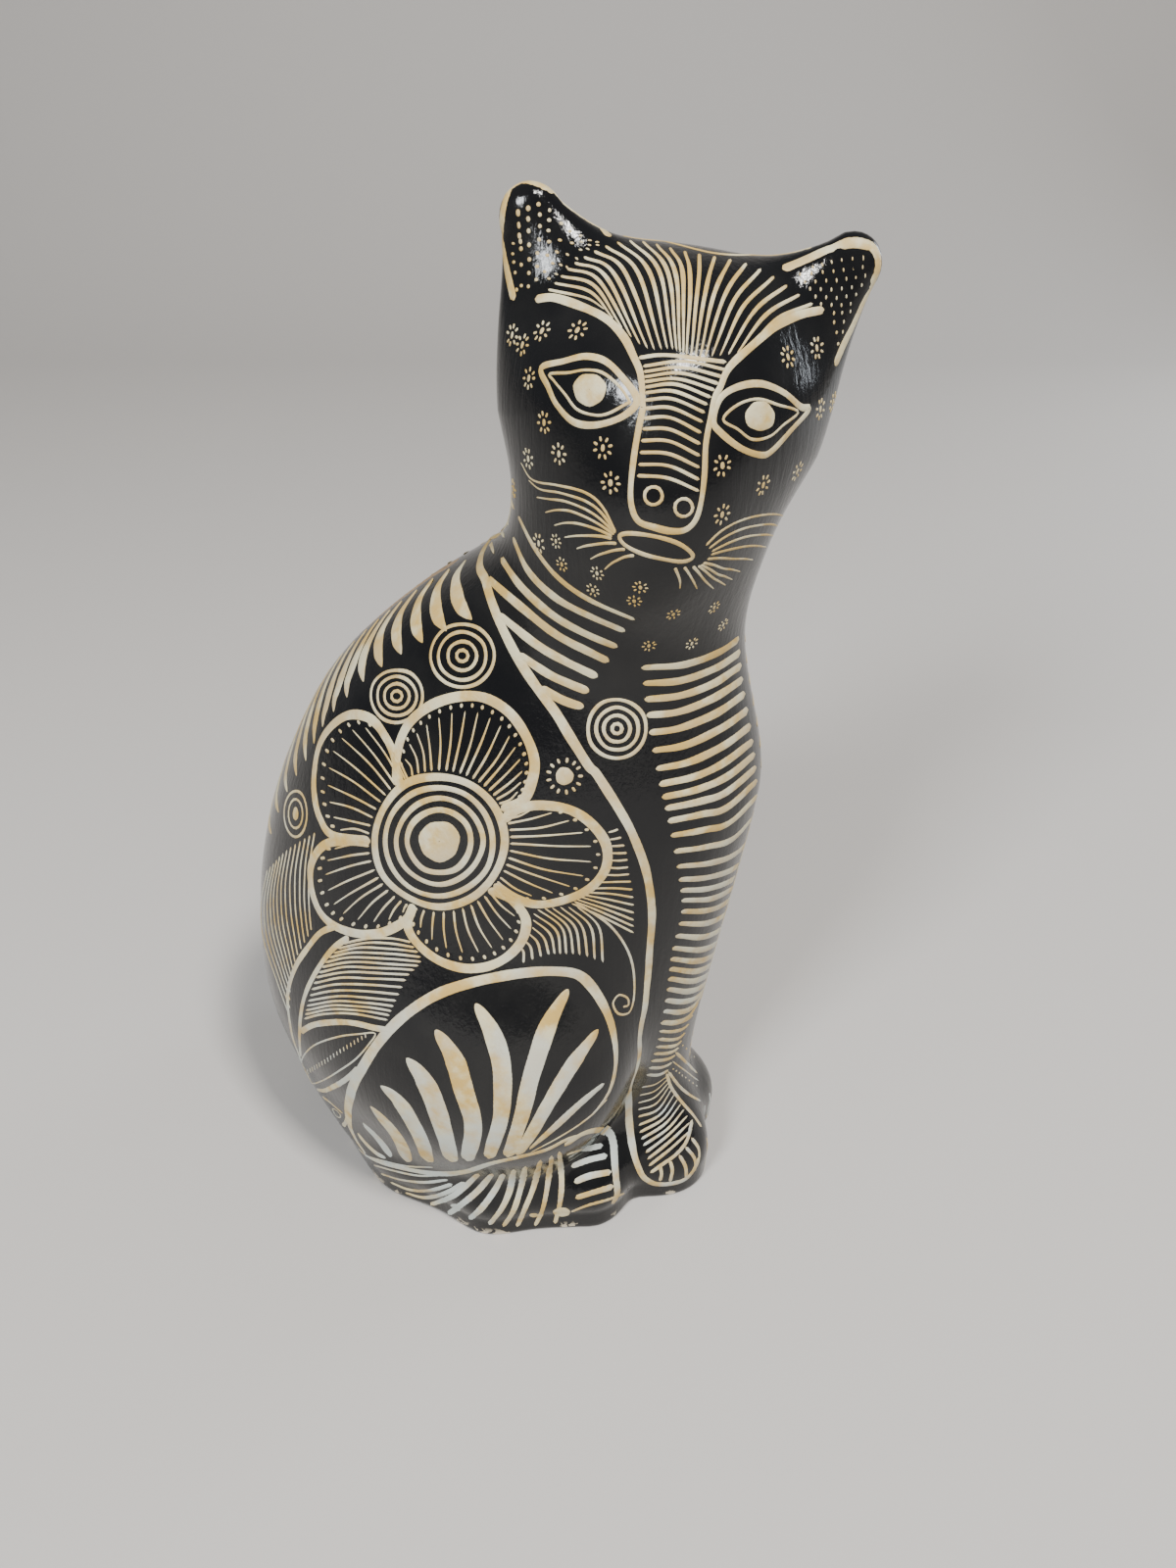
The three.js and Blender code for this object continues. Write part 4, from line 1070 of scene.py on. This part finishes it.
# The hidden left side repeats the patterns more plainly: the flower, comb, border, rosettes, hatching
# and thigh fan mirrored, level strokes on the chest, and stripes on the back of the head and the tail.
inlay("left_flower", great_flower(seen_left))
inlay("left_body",
    scratch(settle, comb * MIRRORED, COMB_WIDTHS, COMB_SHAPE),
    scratch(settle, border[:23] * MIRRORED, 2.9, (1, 1, 1, 1, 0.6)),
    scratch(seen_left, NECK[1:], 2.5, (0.7, 1, 1.05, 1, 0.8)),
    scratch(seen_left, NECK_LOW, 2.7, (0.8, 1, 1, 0.9)),
    scratch(seen_left, THIGH[6:18], 3.7, (1, 1, 1, 0.4)),
    scratch(seen_left, np.array(THIGH_FAN)[3:, :4], 0.8 * FAN_WIDTHS[3:], (0.55, 1.1, 0.5)),
    scratch(seen_left, between(HATCH_BACK[1:], 9)[:, :4], 0.8),
    scratch(seen_left, between(HATCH_BAND[:3], 10), 0.85),
    *[rosette(seen_left, *item, ROSETTE_WIDTH) for item in ROSETTES[:2]])
LEFT_CHEST = (
    ((275, 199), (296, 199), (318, 200)), ((273, 155), (287, 154), (301, 152)),
    ((273, 107), (282, 104), (291, 101)), ((271, 73), (277, 70), (283, 69)),
    ((269, 41), (275, 40), (280, 42)))
TOE_LINES = (
    ((262, 2), (262.5, 9), (263, 15)), ((275, 2), (275, 9), (275, 15)), ((287, 2), (286, 8), (285, 13)))
inlay("left_chest",
    scratch(wrapped, between(LEFT_CHEST, 29), 2.5, (0.9, 1, 1, 0.8)),
    scratch(wrapped, between(TOE_LINES, 7), 1.5, (1, 1, 0.6)))
HEAD_STRIPES = (
    ((-72, 232), (-66, 250), (-50, 262)), ((0, 222), (0, 245), (0, 262)), ((75, 230), (72, 250), (60, 264)))
TAIL_STRIPES = (
    ((-62, 5), (-60, 14), (-56, 22)), ((10, 5), (12, 16), (16, 26)), ((100, 5), (102, 18), (106, 30)))
EAR_BACK = np.array(((8, 33), (20, 39.5), (31, 44), (37.5, 42), (38.5, 32), (35, 15)))
EAR_BACK_ROWS = np.array(
    (((15, 28), (24, 34), (32, 39)), ((21, 22), (28, 28), (34, 35)), ((26, 16), (31, 21), (35, 27))))
inlay("head_back",
    scratch(wrapped, between(HEAD_STRIPES, 17), 2.2, (0.5, 1, 0.6)),
    [scratch(from_behind, EAR_BACK * (side, 1), 1.8) for side in (-1, 1)],
    [dashes(from_behind, EAR_BACK_ROWS * (side, 1), 6, (1.2, 1.2), 0.95) for side in (-1, 1)])
inlay("tail_stripes", scratch(wrapped, between(TAIL_STRIPES, 26), 2.4, (0.7, 1, 0.5)))

# The stage: a plain pale floor that curves up behind, soft light from a window on the left and from
# above, and the photograph's viewpoint, close to the cat's right side and a little above its head.
FLOOR_NEAR, FLOOR_FAR, BEND, BACKDROP_TOP, FLOOR_HALF_WIDTH = -1.4, 1.0, 0.6, 2.2, 2.2
FLOOR_ROWS, BEND_ROWS, FLOOR_COLUMNS = 8, 12, 9
FLOOR_PAINT = (0.5, 0.475, 0.45, 1)
ROOM_COLOUR, ROOM_STRENGTH = (0.82, 0.84, 0.88, 1), 0.26
AIM = Vector((0, 0, 0.15))
bend = np.linspace(0.1, 1.57, BEND_ROWS)
floor_points = np.concatenate([
    np.stack([np.linspace(FLOOR_NEAR, FLOOR_FAR, FLOOR_ROWS), np.zeros(FLOOR_ROWS)], -1),
    np.stack([FLOOR_FAR + BEND * np.sin(bend), BEND - BEND * np.cos(bend)], -1),
    np.array(((FLOOR_FAR + BEND, BACKDROP_TOP),)),
])
across = np.linspace(-FLOOR_HALF_WIDTH, FLOOR_HALF_WIDTH, FLOOR_COLUMNS)
away, side = np.array((-math.sin(LOOK), math.cos(LOOK))), np.array((math.cos(LOOK), math.sin(LOOK)))
floor_verts = np.stack([np.concatenate([d * away + s * side, (h,)]) for d, h in floor_points for s in across])
floor = mesh_of("stage_floor", floor_verts / MM, (grid_faces(len(floor_points), len(across), wrap=False),))
floor.data.shade_smooth()
floor_paint = bpy.data.materials.new("stage_paint")
nodes, links, shader = node_tree(floor_paint)
shader.inputs["Base Color"].default_value = FLOOR_PAINT
shader.inputs["Roughness"].default_value = 0.75
floor.data.materials.append(floor_paint)


def lamp(name, place, size, power, colour):
    """A square area light at a place, aimed at the middle of the cat."""
    light = bpy.data.lights.new(name, "AREA")
    light.size, light.energy, light.color = size, power, colour
    item = bpy.data.objects.new(name, light)
    item.location = place
    item.rotation_euler = (AIM - Vector(place)).to_track_quat("-Z", "Y").to_euler()
    bpy.context.scene.collection.objects.link(item)


lamp("window", (-1.3, 0.35, 1.15), 0.4, 30, (0.95, 0.98, 1.0))
lamp("ceiling", (-0.5, -0.75, 1.75), 0.28, 42, (1.0, 0.98, 0.95))
lamp("fill", (1.0, -0.85, 0.45), 0.5, 7, (0.86, 0.93, 1.0))

world = bpy.data.worlds.new("room")
world.use_nodes = True
world.node_tree.nodes["Background"].inputs["Color"].default_value = ROOM_COLOUR
world.node_tree.nodes["Background"].inputs["Strength"].default_value = ROOM_STRENGTH
bpy.context.scene.world = world

camera = bpy.data.cameras.new("camera")
camera.sensor_width, camera.lens = 36.0, EYE_FOCUS
viewer = bpy.data.objects.new("camera", camera)
viewer.location = EYE * MM
viewer.rotation_euler = (math.radians(90) - PITCH, 0, LOOK)
bpy.context.scene.collection.objects.link(viewer)
bpy.context.scene.camera = viewer
